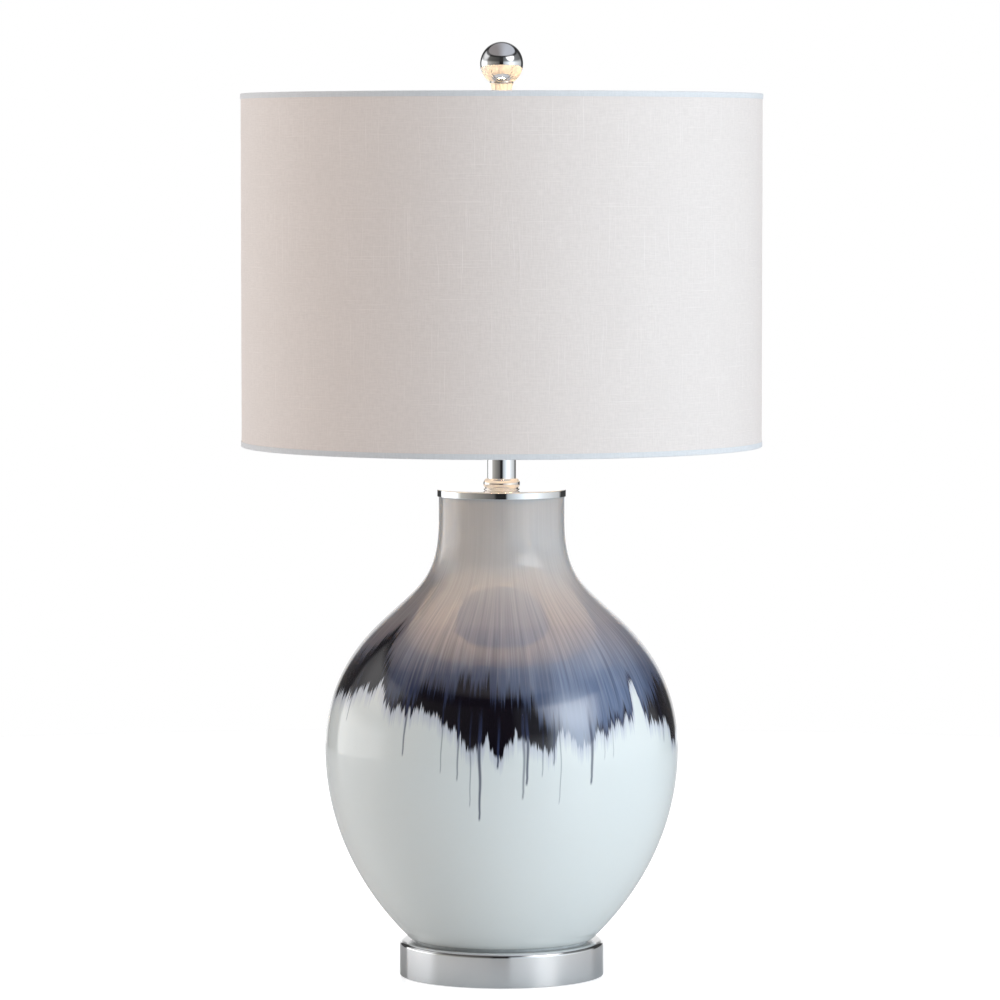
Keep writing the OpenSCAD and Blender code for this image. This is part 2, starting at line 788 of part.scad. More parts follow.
// An arm of the spider, thicker by grow, with a ball a hair larger at its bend
module arm(angle, grow) {
    level = [arm_bend, 0, arm_z];
    rotate([0, 0, angle]) {
        bar([arm_start, 0, arm_z], level, arm_r + grow);
        translate(level) sphere(r = arm_r + grow + 0.03);
        bar(level, [ring_path, 0, ring_top_z], arm_r + grow);
    }
}

module ring(z) {
    translate([0, 0, z]) rotate_extrude() translate([ring_path, 0]) circle(r = ring_r);
}

module spider() {
    color("#c4c7ca") difference() {
        union() {
            translate([0, 0, hub_z]) cylinder(r = hub_r, h = hub_t);
            for (a = arm_angles) arm(a, 0);
        }
        translate([0, 0, hub_z - 1]) cylinder(r = stud_r + fit_gap, h = hub_t + 2);
        tube(ring_path + 9, ring_path - ring_r, shade_top - 40, shade_top + 20);
    }
}

module top_ring() {
    color("#c4c7ca") ring(ring_top_z);
}

module bottom_ring() {
    color("#c4c7ca") ring(ring_low_z);
}

module shade_liner() {
    color("#f3f1ec") tube(liner_r, liner_r - liner_t, shade_bottom + hem_t, shade_top - hem_t);
}

module shade_fabric() {
    color("#f1efec") tube(fabric_r, liner_r, shade_bottom + hem_t, shade_top - hem_t);
}

// A strip of fabric folded over an edge of the shade: edge at z = 0, folding downwards
module hem() {
    inner = ring_path - ring_r;
    fold = inner - hem_t;
    inside_h = hem_t + ring_d + 0.6;
    revolve([
        [shade_r, -hem_h], [shade_r, -0.6], [shade_r - 0.5, 0], [fold + 0.5, 0], [fold, -0.6],
        [fold, -inside_h], [inner, -inside_h], [inner, -hem_t], [fabric_r, -hem_t], [fabric_r, -hem_h]
    ]);
}

module top_hem() {
    color("#ecebe9") difference() {
        translate([0, 0, shade_top]) hem();
        for (a = arm_angles) arm(a, 0.1);
    }
}

module bottom_hem() {
    color("#ecebe9") translate([0, 0, shade_bottom]) mirror([0, 0, 1]) hem();
}

// ---------------------------------------------------------------- finial

module finial_base() {
    color("#d9dde0") difference() {
        revolve(concat(
            [[stud_r + fit_gap, finial_z], [finial_foot_r, finial_z], [finial_foot_r, finial_z + 1.2]],
            bezier([finial_foot_r - 0.6, finial_z + 2], [finial_waist_r, finial_z + 4],
                [finial_waist_r, lip_z - 8], [finial_lip_r - 0.5, lip_z - 1], 10),
            [[finial_lip_r, lip_z - 0.8], [finial_lip_r, lip_z], [finial_lip_r - 0.5, lip_z + 0.5]],
            [[0, lip_z + 0.5], [0, finial_z + stud_len + 1], [stud_r + fit_gap, finial_z + stud_len + 1]]
        ));
        translate([0, 0, ball_z]) sphere(r = ball_d / 2);
    }
}

module finial_ball() {
    color("#d9dde0") translate([0, 0, ball_z]) sphere(r = ball_d / 2);
}

// ---------------------------------------------------------------- nodes

felt_pad();
base_weight();
base_foot();
cord_grommet();
threaded_rod();
rod_washer();
lock_washer();
rod_nut();
seat_gasket();
rod_bush();
glass_body();
rim_gasket();
vase_cap();
neck_collar();
neck_tube();
tube_ring();
harp_saddle();
harp_wire();
harp_stud();
ferrule_left();
ferrule_right();
socket_cap();
socket_shell();
socket_liner();
socket_block();
screw_shell();
center_contact();
terminal_screws();
switch_bushing();
switch_shaft();
switch_cam();
switch_knob();
lead_wires();
crimp_caps();
bulb_contact();
bulb_insulator();
bulb_screw_base();
bulb_housing();
led_board();
led_chips();
bulb_globe();
spider();
top_ring();
bottom_ring();
shade_liner();
shade_fabric();
top_hem();
bottom_hem();
finial_base();
finial_ball();
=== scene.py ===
# %% [markdown]
# # A table lamp with a dripped-glaze vase and a linen drum shade
# This lesson dresses a finished CAD model. The frame gives every part at its real size and place, in metres,
# with +Z up and the front along -Y. We never move those parts. We give them finishes, and where a part needs
# a finer surface than CAD gives, we build a new mesh in the same space and let it stand for the old one.
# Most pieces of a lamp are turned on a lathe, so one Geometry Nodes tree makes nearly all of them.

# %% Load the frame
import json
import math
import bpy
import bmesh
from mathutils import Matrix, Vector


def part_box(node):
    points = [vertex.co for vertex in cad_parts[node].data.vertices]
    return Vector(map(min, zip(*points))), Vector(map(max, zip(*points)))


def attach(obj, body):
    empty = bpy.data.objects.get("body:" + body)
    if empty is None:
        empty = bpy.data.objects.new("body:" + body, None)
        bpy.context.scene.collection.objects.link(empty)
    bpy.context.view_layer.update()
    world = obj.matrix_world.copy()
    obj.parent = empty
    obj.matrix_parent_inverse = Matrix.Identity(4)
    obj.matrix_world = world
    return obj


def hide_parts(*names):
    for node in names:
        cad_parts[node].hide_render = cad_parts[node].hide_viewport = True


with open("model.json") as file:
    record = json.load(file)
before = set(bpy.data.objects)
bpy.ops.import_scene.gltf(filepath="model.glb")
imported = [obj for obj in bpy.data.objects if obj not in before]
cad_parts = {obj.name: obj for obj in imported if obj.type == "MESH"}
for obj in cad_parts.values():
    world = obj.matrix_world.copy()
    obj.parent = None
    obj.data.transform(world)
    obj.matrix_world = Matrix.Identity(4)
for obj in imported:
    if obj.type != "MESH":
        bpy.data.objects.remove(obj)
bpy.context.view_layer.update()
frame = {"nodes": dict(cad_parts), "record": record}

MM = 0.001

# %% [markdown]
# ## Camera
# A lamp is best seen from far away with a long lens, so that its sides stay upright. The camera stands a
# little above the shade's middle and looks slightly down, which shows a thin ellipse of the foot and the cap.

# %% Camera
EYE = Vector((-0.0012, -3.915, 0.5911))
LOOK_DOWN = math.radians(3.563)
LENS = 193.9

camera_data = bpy.data.cameras.new("studio_camera")
camera_data.lens = LENS
camera_data.sensor_width = 36
camera_data.clip_end = 40
camera = bpy.data.objects.new("studio_camera", camera_data)
camera.location = EYE
camera.rotation_euler = (math.pi / 2 - LOOK_DOWN, 0, 0)
bpy.context.scene.collection.objects.link(camera)
bpy.context.scene.camera = camera
print("camera:", round(-EYE.y, 2), "m away with a", LENS, "mm lens")

# %% [markdown]
# ## Small helpers for node trees
# A node tree is wordy in code, so three helpers keep the lesson short: one adds a node and fills its inputs,
# one chains maths, and one starts a material with its Principled shader. A value that is the same all over a
# surface is set straight on the shader, and only what varies gets a wire.

# %% Node helpers
def add(tree, kind, inputs=None, **settings):
    """Adds a node, sets its properties, and fills inputs by name or number with values or wires."""
    node = tree.nodes.new(kind)
    for key, value in settings.items():
        setattr(node, key, value)
    for key, value in (inputs or {}).items():
        if isinstance(value, bpy.types.NodeSocket):
            tree.links.new(value, node.inputs[key])
        else:
            node.inputs[key].default_value = value
    return node


def maths(tree, operation, a, b=0.0, c=0.0, clamp=False):
    node = add(tree, "ShaderNodeMath", {0: a, 1: b, 2: c}, operation=operation, use_clamp=clamp)
    return node.outputs[0]


def ramp(tree, value, low, high, to_low=0.0, to_high=1.0, smooth=False):
    """Maps value from low..high to to_low..to_high, and stops at both ends."""
    node = add(tree, "ShaderNodeMapRange", {0: value, 1: low, 2: high, 3: to_low, 4: to_high})
    if smooth:
        node.interpolation_type = "SMOOTHSTEP"
    return node.outputs[0]


def blend(tree, share, a, b, mode="MIX"):
    """Mixes two colours."""
    node = tree.nodes.new("ShaderNodeMix")
    node.data_type = "RGBA"
    node.blend_type = mode
    for key, value in ((0, share), (6, a), (7, b)):
        if isinstance(value, bpy.types.NodeSocket):
            tree.links.new(value, node.inputs[key])
        else:
            node.inputs[key].default_value = value
    return node.outputs[2]


def noise(tree, where, scale, detail=2.0, rough=0.5):
    inputs = {"Vector": where, "Scale": scale, "Detail": detail, "Roughness": rough}
    return add(tree, "ShaderNodeTexNoise", inputs).outputs["Fac"]


def stretched(tree, where, scale):
    """Coordinates scaled by a different amount along each axis."""
    return add(tree, "ShaderNodeMapping", {"Vector": where, "Scale": scale}).outputs[0]


def bump(tree, height, depth, strength=1.0):
    inputs = {"Height": height, "Distance": depth, "Strength": strength}
    return add(tree, "ShaderNodeBump", inputs).outputs[0]


def start_finish(name, colour, roughness, metallic=0.0, **more):
    """A new material: returns it with its tree, its Principled shader and its object coordinates."""
    material = bpy.data.materials.new(name)
    material.use_nodes = True
    tree = material.node_tree
    shader = tree.nodes["Principled BSDF"]
    shader.inputs["Base Color"].default_value = (*colour, 1)
    shader.inputs["Roughness"].default_value = roughness
    shader.inputs["Metallic"].default_value = metallic
    for key, value in more.items():
        shader.inputs[key.replace("_", " ")].default_value = value
    where = add(tree, "ShaderNodeTexCoord").outputs["Object"]
    return material, tree, shader, where

# %% [markdown]
# ## The studio
# Chrome has no colour of its own: it shows the room. Soft light stands left and right of the camera, with a
# dark slot between and a dark gap behind each side, before the white backdrop begins. We draw that room in
# the world shader as bands by compass direction, which costs no geometry and makes soft light everywhere.
# Mirrors get a little more: for glossy rays the bands fade upwards, so that the vase's shoulder keeps its
# dark, and two soft panels hang over them. Rays from the camera see plain white instead, so that the lamp
# stands before a clean backdrop.

# %% World
BANDS = [  # degrees from the camera's side, brightness, blueness
    (-180, 1.0, 0.0), (-164, 1.0, 0.0), (-160, 0.05, 0.0), (-137, 0.05, 0.0), (-133, 1.45, 0.0),
    (-90, 1.35, 0.0), (-77, 0.44, -0.06), (-50, 0.26, -0.06), (-14, 0.11, -0.04), (-9, 0.02, 0.0),
    (7, 0.02, 0.0), (11, 0.5, 0.14), (28, 0.85, 0.14), (45, 1.25, 0.12), (62, 1.25, 0.1),
    (80, 0.9, 0.08), (105, 0.65, 0.05), (122, 0.55, 0.04), (130, 0.05, 0.0), (158, 0.05, 0.0),
    (163, 1.0, 0.0), (180, 1.0, 0.0),
]
PANELS = [(52, 33, 2.3), (-104, 32, 0.8)]  # degrees round, degrees up, brightness
DUSK, SLOT_DARK = (0.04, 0.04, 0.04, 1), (0.02, 0.02, 0.02, 1)
CEILING_LEFT, CEILING_RIGHT = (0.27, 0.25, 0.25, 1), (0.50, 0.52, 0.57, 1)
GROUND = (0.72, 0.72, 0.72, 1)


def studio_world():
    world = bpy.data.worlds.new("studio")
    bpy.context.scene.world = world
    world.use_nodes = True
    tree = world.node_tree
    tree.nodes.clear()
    where = add(tree, "ShaderNodeTexCoord").outputs["Generated"]
    part = add(tree, "ShaderNodeSeparateXYZ", {0: where})
    turn = maths(tree, "ARCTAN2", part.outputs[0], maths(tree, "MULTIPLY", part.outputs[1], -1.0))
    bands = add(tree, "ShaderNodeValToRGB", {0: ramp(tree, turn, -math.pi, math.pi)})
    ends = bands.color_ramp.elements
    while len(ends) < len(BANDS):
        ends.new(0.5)
    for stop, (angle, light, blue) in zip(ends, BANDS):
        stop.position = (angle + 180) / 360
        stop.color = (light * (1 - blue), light * (1 - 0.4 * blue), light * (1 + min(blue, 0)), 1)
    height = part.outputs[2]
    path = add(tree, "ShaderNodeLightPath")
    glossy = path.outputs["Is Glossy Ray"]
    fade = maths(tree, "MULTIPLY", ramp(tree, height, 0.09, 0.24, 0.0, 0.78), glossy)
    room = blend(tree, fade, bands.outputs[0], DUSK)
    for angle, rise, power in PANELS:
        angle, rise = math.radians(angle), math.radians(rise)
        aim = (math.cos(rise) * math.sin(angle), -math.cos(rise) * math.cos(angle), math.sin(rise))
        near = add(tree, "ShaderNodeVectorMath", {0: where, 1: aim}, operation="DOT_PRODUCT").outputs["Value"]
        panel = maths(tree, "MULTIPLY", ramp(tree, near, 0.89, 0.99, smooth=True), glossy)
        room = blend(tree, panel, room, (power, power, power, 1))
    side = ramp(tree, part.outputs[0], -0.35, 0.35, smooth=True)
    ceiling = blend(tree, side, CEILING_LEFT, CEILING_RIGHT)
    room = blend(tree, ramp(tree, height, 0.60, 0.64, smooth=True), room, ceiling)
    gap = maths(tree, "MULTIPLY", ramp(tree, height, 0.50, 0.56), ramp(tree, height, 0.68, 0.62))
    room = blend(tree, maths(tree, "MULTIPLY", gap, 0.85), room, SLOT_DARK)
    room = blend(tree, ramp(tree, height, -0.22, -0.35), room, GROUND)
    lit = add(tree, "ShaderNodeBackground", {"Color": room, "Strength": 1.06})
    plain = add(tree, "ShaderNodeBackground", {"Color": (1, 1, 1, 1), "Strength": 1.0})
    inputs = {0: path.outputs["Is Camera Ray"], 1: lit.outputs[0], 2: plain.outputs[0]}
    both = add(tree, "ShaderNodeMixShader", inputs)
    add(tree, "ShaderNodeOutputWorld", {"Surface": both.outputs[0]})


studio_world()
bpy.context.scene.view_settings.view_transform = "Standard"
print("world:", len(BANDS), "stops round the compass and", len(PANELS), "panels")

# %% Lights
def softbox(name, place, aim, size, power, colour):
    data = bpy.data.lights.new(name, "AREA")
    data.shape = "RECTANGLE"
    data.size, data.size_y = size
    data.energy = power
    data.color = colour
    light = bpy.data.objects.new(name, data)
    light.location = place
    light.rotation_euler = (Vector(aim) - Vector(place)).to_track_quat("-Z", "Y").to_euler()
    light.visible_glossy = False
    bpy.context.scene.collection.objects.link(light)
    return light


softbox("key_right", (1.9, -1.7, 0.65), (0, 0, 0.4), (1.2, 1.6), 31, (0.72, 0.88, 1.0))
softbox("rim_left", (-2.3, 0.5, 0.6), (0, 0, 0.4), (0.8, 1.6), 16, (0.95, 0.98, 1.0))
softbox("fill_top", (0, -0.4, 2.2), (0, 0, 0.5), (1.5, 1.5), 6.5, (1, 1, 1))

# %% Floor
def floor_finish():
    material, tree, shader, where = start_finish("floor_paper", (0.86, 0.86, 0.86), 0.22)
    shader.inputs["Emission Color"].default_value = (1, 1, 1, 1)
    seen = add(tree, "ShaderNodeLightPath").outputs["Is Camera Ray"]
    tree.links.new(maths(tree, "MULTIPLY", seen, 0.7), shader.inputs["Emission Strength"])
    grain = noise(tree, where, 900.0, 3.0)
    tree.links.new(bump(tree, grain, 0.00005, 0.3), shader.inputs["Normal"])
    return material


FLOOR_RADIUS, CORNERS = 1.7, 96
floor_mesh = bpy.data.meshes.new("floor")
turns = [2 * math.pi * k / CORNERS for k in range(CORNERS)]
rim = [(FLOOR_RADIUS * math.cos(a), FLOOR_RADIUS * math.sin(a), 0) for a in turns]
floor_mesh.from_pydata(rim, [], [tuple(range(CORNERS))])
floor = bpy.data.objects.new("floor", floor_mesh)
floor_mesh.materials.append(floor_finish())
bpy.context.scene.collection.objects.link(floor)

# %% [markdown]
# ## Metals
# The bright parts are plated and polished: a mirror that is never quite clean. A faint noise in the roughness
# gives it the haze of handling. The hidden wire parts are satin nickel, whose drawing marks run along the
# wire, and the inside of the socket is brass. Each finish is a function, so that a foot and a finial can have
# the same chrome with their own smudges.

# %% Metal finishes
def chrome(name, seed):
    material, tree, shader, where = start_finish(name, (0.90, 0.905, 0.915), 0.03, 1.0)
    moved = add(tree, "ShaderNodeMapping", {"Vector": where, "Location": (seed, 0, 0)}).outputs[0]
    haze = noise(tree, moved, 45.0, 4.0, 0.6)
    tree.links.new(ramp(tree, haze, 0.35, 0.75, 0.015, 0.06), shader.inputs["Roughness"])
    return material


def drawn_metal(name, colour, stretch, low, high):
    """Metal with fine marks: stretch says how they are drawn out along each axis."""
    material, tree, shader, where = start_finish(name, colour, 0.3, 1.0)
    marks = noise(tree, stretched(tree, where, stretch), 1.0, 3.0, 0.6)
    tree.links.new(ramp(tree, marks, 0.3, 0.7, low, high), shader.inputs["Roughness"])
    dark = tuple(0.82 * c for c in colour)
    varied = blend(tree, ramp(tree, marks, 0.3, 0.7), (*colour, 1), (*dark, 1))
    tree.links.new(varied, shader.inputs["Base Color"])
    tree.links.new(bump(tree, marks, 0.00002, 0.4), shader.inputs["Normal"])
    return material


def cast_iron(name):
    material, tree, shader, where = start_finish(name, (0.06, 0.06, 0.06), 0.75, 0.6)
    grain = noise(tree, where, 700.0, 6.0, 0.7)
    patches = noise(tree, where, 60.0, 3.0)
    rust = ramp(tree, patches, 0.55, 0.75)
    rusty = blend(tree, rust, (0.05, 0.05, 0.052, 1), (0.14, 0.07, 0.04, 1))
    tree.links.new(rusty, shader.inputs["Base Color"])
    tree.links.new(ramp(tree, grain, 0.3, 0.7, 0.6, 0.9), shader.inputs["Roughness"])
    tree.links.new(bump(tree, grain, 0.0004), shader.inputs["Normal"])
    return material


FINISH = {
    "chrome_foot": chrome("chrome_foot", 0.0),
    "chrome_neck": chrome("chrome_neck", 3.0),
    "chrome_finial": chrome("chrome_finial", 7.0),
    "nickel_wire": drawn_metal("nickel_wire", (0.70, 0.68, 0.65), (900, 900, 900), 0.22, 0.38),
    "nickel_shell": drawn_metal("nickel_shell", (0.72, 0.70, 0.67), (400, 400, 3000), 0.18, 0.34),
    "brass": drawn_metal("brass", (0.80, 0.60, 0.26), (500, 500, 2500), 0.2, 0.4),
    "zinc": drawn_metal("zinc", (0.62, 0.63, 0.66), (1500, 1500, 600), 0.28, 0.5),
    "bulb_metal": drawn_metal("bulb_metal", (0.72, 0.73, 0.74), (500, 500, 2500), 0.22, 0.4),
    "cast_iron": cast_iron("cast_iron"),
}
print("metals:", sorted(FINISH))

# %% [markdown]
# ## Plastics, rubber, felt and board
# Moulded plastic is smooth with a fine spark-eroded grain, rubber is duller, and felt is a mat of fibres in
# every direction. They differ in the scale of one noise, its depth and the roughness, so one function with
# those sizes makes them all.

# %% Soft and moulded finishes
def moulded(name, colour, roughness, grain_size, depth, vary=0.12, **more):
    """A plain finish with a grain of that size (metres), and colour that varies by a share of itself."""
    material, tree, shader, where = start_finish(name, colour, roughness, **more)
    grain = noise(tree, where, 1.0 / grain_size, 4.0, 0.6)
    tree.links.new(bump(tree, grain, depth), shader.inputs["Normal"])
    dull = ramp(tree, grain, 0.3, 0.7, 0.88 * roughness, min(1, 1.12 * roughness))
    tree.links.new(dull, shader.inputs["Roughness"])
    cloudy = noise(tree, where, 0.15 / grain_size, 2.0)
    deep = tuple(c * (1 - vary) for c in colour)
    varied = blend(tree, ramp(tree, cloudy, 0.35, 0.65), (*colour, 1), (*deep, 1))
    tree.links.new(varied, shader.inputs["Base Color"])
    return material


FINISH.update({
    "felt": moulded("felt", (0.035, 0.035, 0.04), 0.95, 0.0006, 0.0004, 0.4, Sheen_Weight=0.4),
    "black_rubber": moulded("black_rubber", (0.025, 0.025, 0.026), 0.6, 0.0008, 0.00004),
    "clear_rubber": moulded("clear_rubber", (0.72, 0.74, 0.74), 0.35, 0.001, 0.00003),
    "fibre_board": moulded("fibre_board", (0.30, 0.23, 0.14), 0.85, 0.0009, 0.0001, 0.3),
    "phenolic": moulded("phenolic", (0.03, 0.025, 0.02), 0.4, 0.001, 0.00003),
    "black_plastic": moulded("black_plastic", (0.02, 0.02, 0.022), 0.38, 0.0006, 0.00004),
    "wire_jacket": moulded("wire_jacket", (0.75, 0.74, 0.7), 0.45, 0.001, 0.00003),
    "bulb_white": moulded("bulb_white", (0.84, 0.84, 0.83), 0.35, 0.001, 0.00002, 0.05),
    "led_phosphor": moulded("led_phosphor", (0.85, 0.65, 0.18), 0.5, 0.0005, 0.00002),
})
print("finishes so far:", len(FINISH))

# %% [markdown]
# ## The lit bulb
# The bulb is on, and its warm light fills the shade: that is the glow in the finial and on the vase's
# shoulder. The frosted globe gives off light itself. Its rim near the housing is a little dimmer, as on a
# real diffuser, so the strength falls off with height.

# %% Bulb glow
BULB_LIGHT = (1.0, 0.66, 0.35)
BULB_STRENGTH = 58.0


def bulb_glow():
    low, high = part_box("bulb_globe")
    material, tree, shader, where = start_finish("bulb_glow", (0.9, 0.88, 0.84), 0.4)
    height = add(tree, "ShaderNodeSeparateXYZ", {0: where}).outputs[2]
    near = ramp(tree, height, low.z, low.z + 0.02, 0.55 * BULB_STRENGTH, BULB_STRENGTH)
    shader.inputs["Emission Color"].default_value = (*BULB_LIGHT, 1)
    tree.links.new(near, shader.inputs["Emission Strength"])
    frost = noise(tree, where, 2500.0, 2.0)
    tree.links.new(bump(tree, frost, 0.00002), shader.inputs["Normal"])
    return material


FINISH["bulb_glow"] = bulb_glow()

# %% [markdown]
# ## Linen
# The shade's cover is a plain weave with slubs: thick, uneven yarns that wander a little from upright, and
# fainter ones across. The cover has its own UV map, measured in metres round and up the shade, so that the
# weave follows the cloth. Long thin noises make the slubs, and two fine waves make the weave itself. The
# light that soaks through from the bulb is painted on as a weak warm glow that the cloth gives off itself.

# %% Linen finish
def linen(name, colour, slub_light, painted_glow):
    material, tree, shader, _ = start_finish(name, colour, 0.85, Sheen_Weight=0.15, Sheen_Roughness=0.5)
    cloth = add(tree, "ShaderNodeUVMap", uv_map="UVMap").outputs[0]
    part = add(tree, "ShaderNodeSeparateXYZ", {0: cloth})
    wander = noise(tree, stretched(tree, cloth, (35, 14, 1)), 1.0, 2.0)
    shift = maths(tree, "MULTIPLY", maths(tree, "SUBTRACT", wander, 0.5), 0.008)
    across_cloth = maths(tree, "ADD", part.outputs[0], shift)
    bent = add(tree, "ShaderNodeCombineXYZ", {0: across_cloth, 1: part.outputs[1]})
    warp = noise(tree, stretched(tree, bent.outputs[0], (1300, 12, 1)), 1.0, 1.0)
    slub = ramp(tree, warp, 0.64, 0.76)
    weft = noise(tree, stretched(tree, cloth, (16, 1300, 1)), 1.0, 1.0)
    across = ramp(tree, weft, 0.64, 0.76)
    yarn_up = noise(tree, stretched(tree, cloth, (1000, 160, 1)), 1.0, 1.0)
    yarn_over = noise(tree, stretched(tree, cloth, (160, 1000, 1)), 1.0, 1.0)
    weave = maths(tree, "ADD", yarn_up, yarn_over)
    mottled = noise(tree, stretched(tree, cloth, (30, 30, 1)), 1.0, 3.0)
    deep = (*(c * 0.90 for c in colour), 1)
    base = blend(tree, ramp(tree, weave, 0.75, 1.25, 0.75, 0.0), (*colour, 1), deep)
    base = blend(tree, ramp(tree, mottled, 0.3, 0.7, 0.0, 0.25), base, deep)
    base = blend(tree, maths(tree, "MULTIPLY", slub, 0.45), base, (*slub_light, 1))
    base = blend(tree, maths(tree, "MULTIPLY", across, 0.40), base, (*slub_light, 1))
    tree.links.new(base, shader.inputs["Base Color"])
    height = maths(tree, "ADD", weave, maths(tree, "ADD", slub, across))
    tree.links.new(bump(tree, height, 0.00015, 0.6), shader.inputs["Normal"])
    # Painted glow: the cloth gives off warm light of its own, standing for the bulb's light shining through
    # it.
    shader.inputs["Emission Color"].default_value = (1.0, 0.60, 0.40, 1)
    shader.inputs["Emission Strength"].default_value = painted_glow
    return material


FINISH["linen"] = linen("linen", (0.74, 0.708, 0.686), (0.88, 0.85, 0.83), 0.14)
FINISH["linen_hem"] = linen("linen_hem", (0.78, 0.78, 0.79), (0.86, 0.86, 0.87), 0.03)
FINISH["shade_lining"] = moulded("shade_lining", (0.90, 0.87, 0.82), 0.7, 0.004, 0.0001, 0.04)
print("cloth: linen cover, linen hems and a stiff lining")

# %% [markdown]
# ## The dripped glaze
# The vase is white glass with a dark glaze poured round its shoulder. It ran down in the kiln, so its lower
# edge is ragged, black pools stand just above that edge, and a few thin runs crossed the white. Above, the
# glaze thins from blue to grey in fine upright streaks. We could paint an image, but a formula stays sharp
# and needs no file: everything is a function of the angle round the vase and the height. Two listed
# curves say where the edge and the pools are, stretched noise frays them, and a loop adds the runs.

# %% Glaze: the listed lines
EDGE = [  # degrees round from the front, height of the ragged edge in mm
    (-180, 204), (-163, 192), (-145, 210), (-125, 194), (-105, 214), (-90, 204), (-75, 206), (-62, 209),
    (-54, 216), (-51, 212), (-48, 219), (-44, 213), (-38, 203), (-32, 203), (-26, 202), (-20, 197),
    (-15, 188), (-11, 179), (-8, 176), (-5, 182), (-1, 172), (5, 184), (10, 180), (16, 173), (19, 188),
    (24, 184), (29, 178), (31, 183), (36, 186), (42, 192), (47, 194), (50, 212), (52, 220), (54, 212),
    (58, 190), (68, 189), (77, 173), (92, 192), (110, 180), (128, 207), (146, 186), (163, 200), (180, 204),
]
POOLS = [  # degrees round from the front, height of the black above the edge in mm
    (-180, 20), (-150, 34), (-120, 12), (-95, 26), (-75, 26), (-64, 30), (-58, 42), (-52, 36), (-46, 8),
    (-40, 6), (-32, 9), (-26, 18), (-20, 20), (-15, 30), (-8, 42), (-1, 40), (5, 27), (9, 26), (15, 20),
    (20, 6), (25, 0), (31, 1), (45, 1), (52, 0), (57, 10), (62, 20), (68, 24), (78, 42), (100, 16),
    (125, 28), (150, 12), (180, 20),
]
THIN = [  # degrees round from the front, how thin and pale the blue lies, in percent
    (-180, 30), (-140, 70), (-100, 20), (-70, 10), (-40, 12), (-20, 5), (0, 22), (12, 45), (24, 85),
    (35, 95), (50, 85), (62, 55), (75, 25), (105, 60), (140, 20), (180, 30),
]
RUNS = [  # degrees round from the front, height of the tip in mm, half width in mm, strength
    (-33.0, 170, 0.8, 0.7), (-19.5, 159, 0.5, 0.45), (-14.0, 154, 0.7, 0.6), (-10.0, 135.5, 0.5, 0.45),
    (-7.0, 125.5, 0.9, 0.85), (-1.0, 163, 0.9, 0.9), (7.0, 141, 0.9, 0.6), (8.2, 151, 1.0, 0.85),
    (13.2, 157, 0.6, 0.4), (17.0, 165, 0.8, 0.6), (19.0, 137, 0.45, 0.4), (30.0, 150, 1.1, 0.8),
    (35.0, 167, 0.5, 0.3), (38.5, 168, 0.5, 0.3), (-62.0, 190, 0.9, 0.5), (66.0, 174, 0.7, 0.5),
    (-98.0, 160, 1.0, 0.8), (-121.0, 168, 0.7, 0.6), (-127.0, 150, 1.0, 0.8), (-158.0, 140, 1.1, 0.9),
    (-151.0, 168, 0.6, 0.5), (101.0, 156, 0.9, 0.8), (112.0, 136, 1.1, 0.9), (117.0, 164, 0.6, 0.5),
    (144.0, 146, 1.0, 0.8), (150.0, 162, 0.6, 0.5), (171.0, 158, 0.9, 0.7),
]
print("glaze:", len(EDGE), "edge points,", len(POOLS), "pool points,", len(RUNS), "runs")

# %% Glaze: node groups
def hand_curve(tree, around, points, low, high):
    """A smooth line through (degrees, mm) points, read at around, which goes from 0 to 1 round the vase."""
    node = add(tree, "ShaderNodeFloatCurve", {"Value": around})
    line = node.mapping.curves[0]
    while len(line.points) < len(points):
        line.points.new(0.5, 0.5)
    for spot, (angle, value) in zip(line.points, points):
        spot.location = ((angle + 180) / 360, (value - low) / (high - low))
        spot.handle_type = "AUTO_CLAMPED"
    node.mapping.update()
    return ramp(tree, node.outputs[0], 0, 1, low, high)


def run_group():
    """One thin run of glaze: how strongly it covers a point, from 0 to 1."""
    group = bpy.data.node_groups.new("glaze_run", "ShaderNodeTree")
    for name in ("Angle", "Height", "Radius", "Centre", "Tip", "Half Width"):
        group.interface.new_socket(name, in_out="INPUT", socket_type="NodeSocketFloat")
    group.interface.new_socket("Cover", in_out="OUTPUT", socket_type="NodeSocketFloat")
    given = group.nodes.new("NodeGroupInput").outputs
    above = maths(group, "SUBTRACT", given["Height"], given["Tip"])
    sway = maths(group, "MULTIPLY", maths(group, "SINE", maths(group, "MULTIPLY", above, 0.16)), 0.35)
    hook = maths(group, "MULTIPLY", ramp(group, above, 6.0, 0.0), 0.8)
    off = maths(group, "MULTIPLY", maths(group, "SUBTRACT", given["Angle"], given["Centre"]), math.pi / 180)
    off = maths(group, "MULTIPLY", off, given["Radius"])
    off = maths(group, "ABSOLUTE", maths(group, "ADD", maths(group, "ADD", off, sway), hook))
    wide = maths(group, "MULTIPLY", given["Half Width"], ramp(group, above, 0.0, 60.0, 0.75, 1.5))
    inside = ramp(group, maths(group, "DIVIDE", off, wide), 1.35, 0.45)
    begun = ramp(group, above, -0.4, 2.2)
    cover = maths(group, "MULTIPLY", inside, begun)
    tree_out = group.nodes.new("NodeGroupOutput")
    group.links.new(cover, tree_out.inputs["Cover"])
    return group

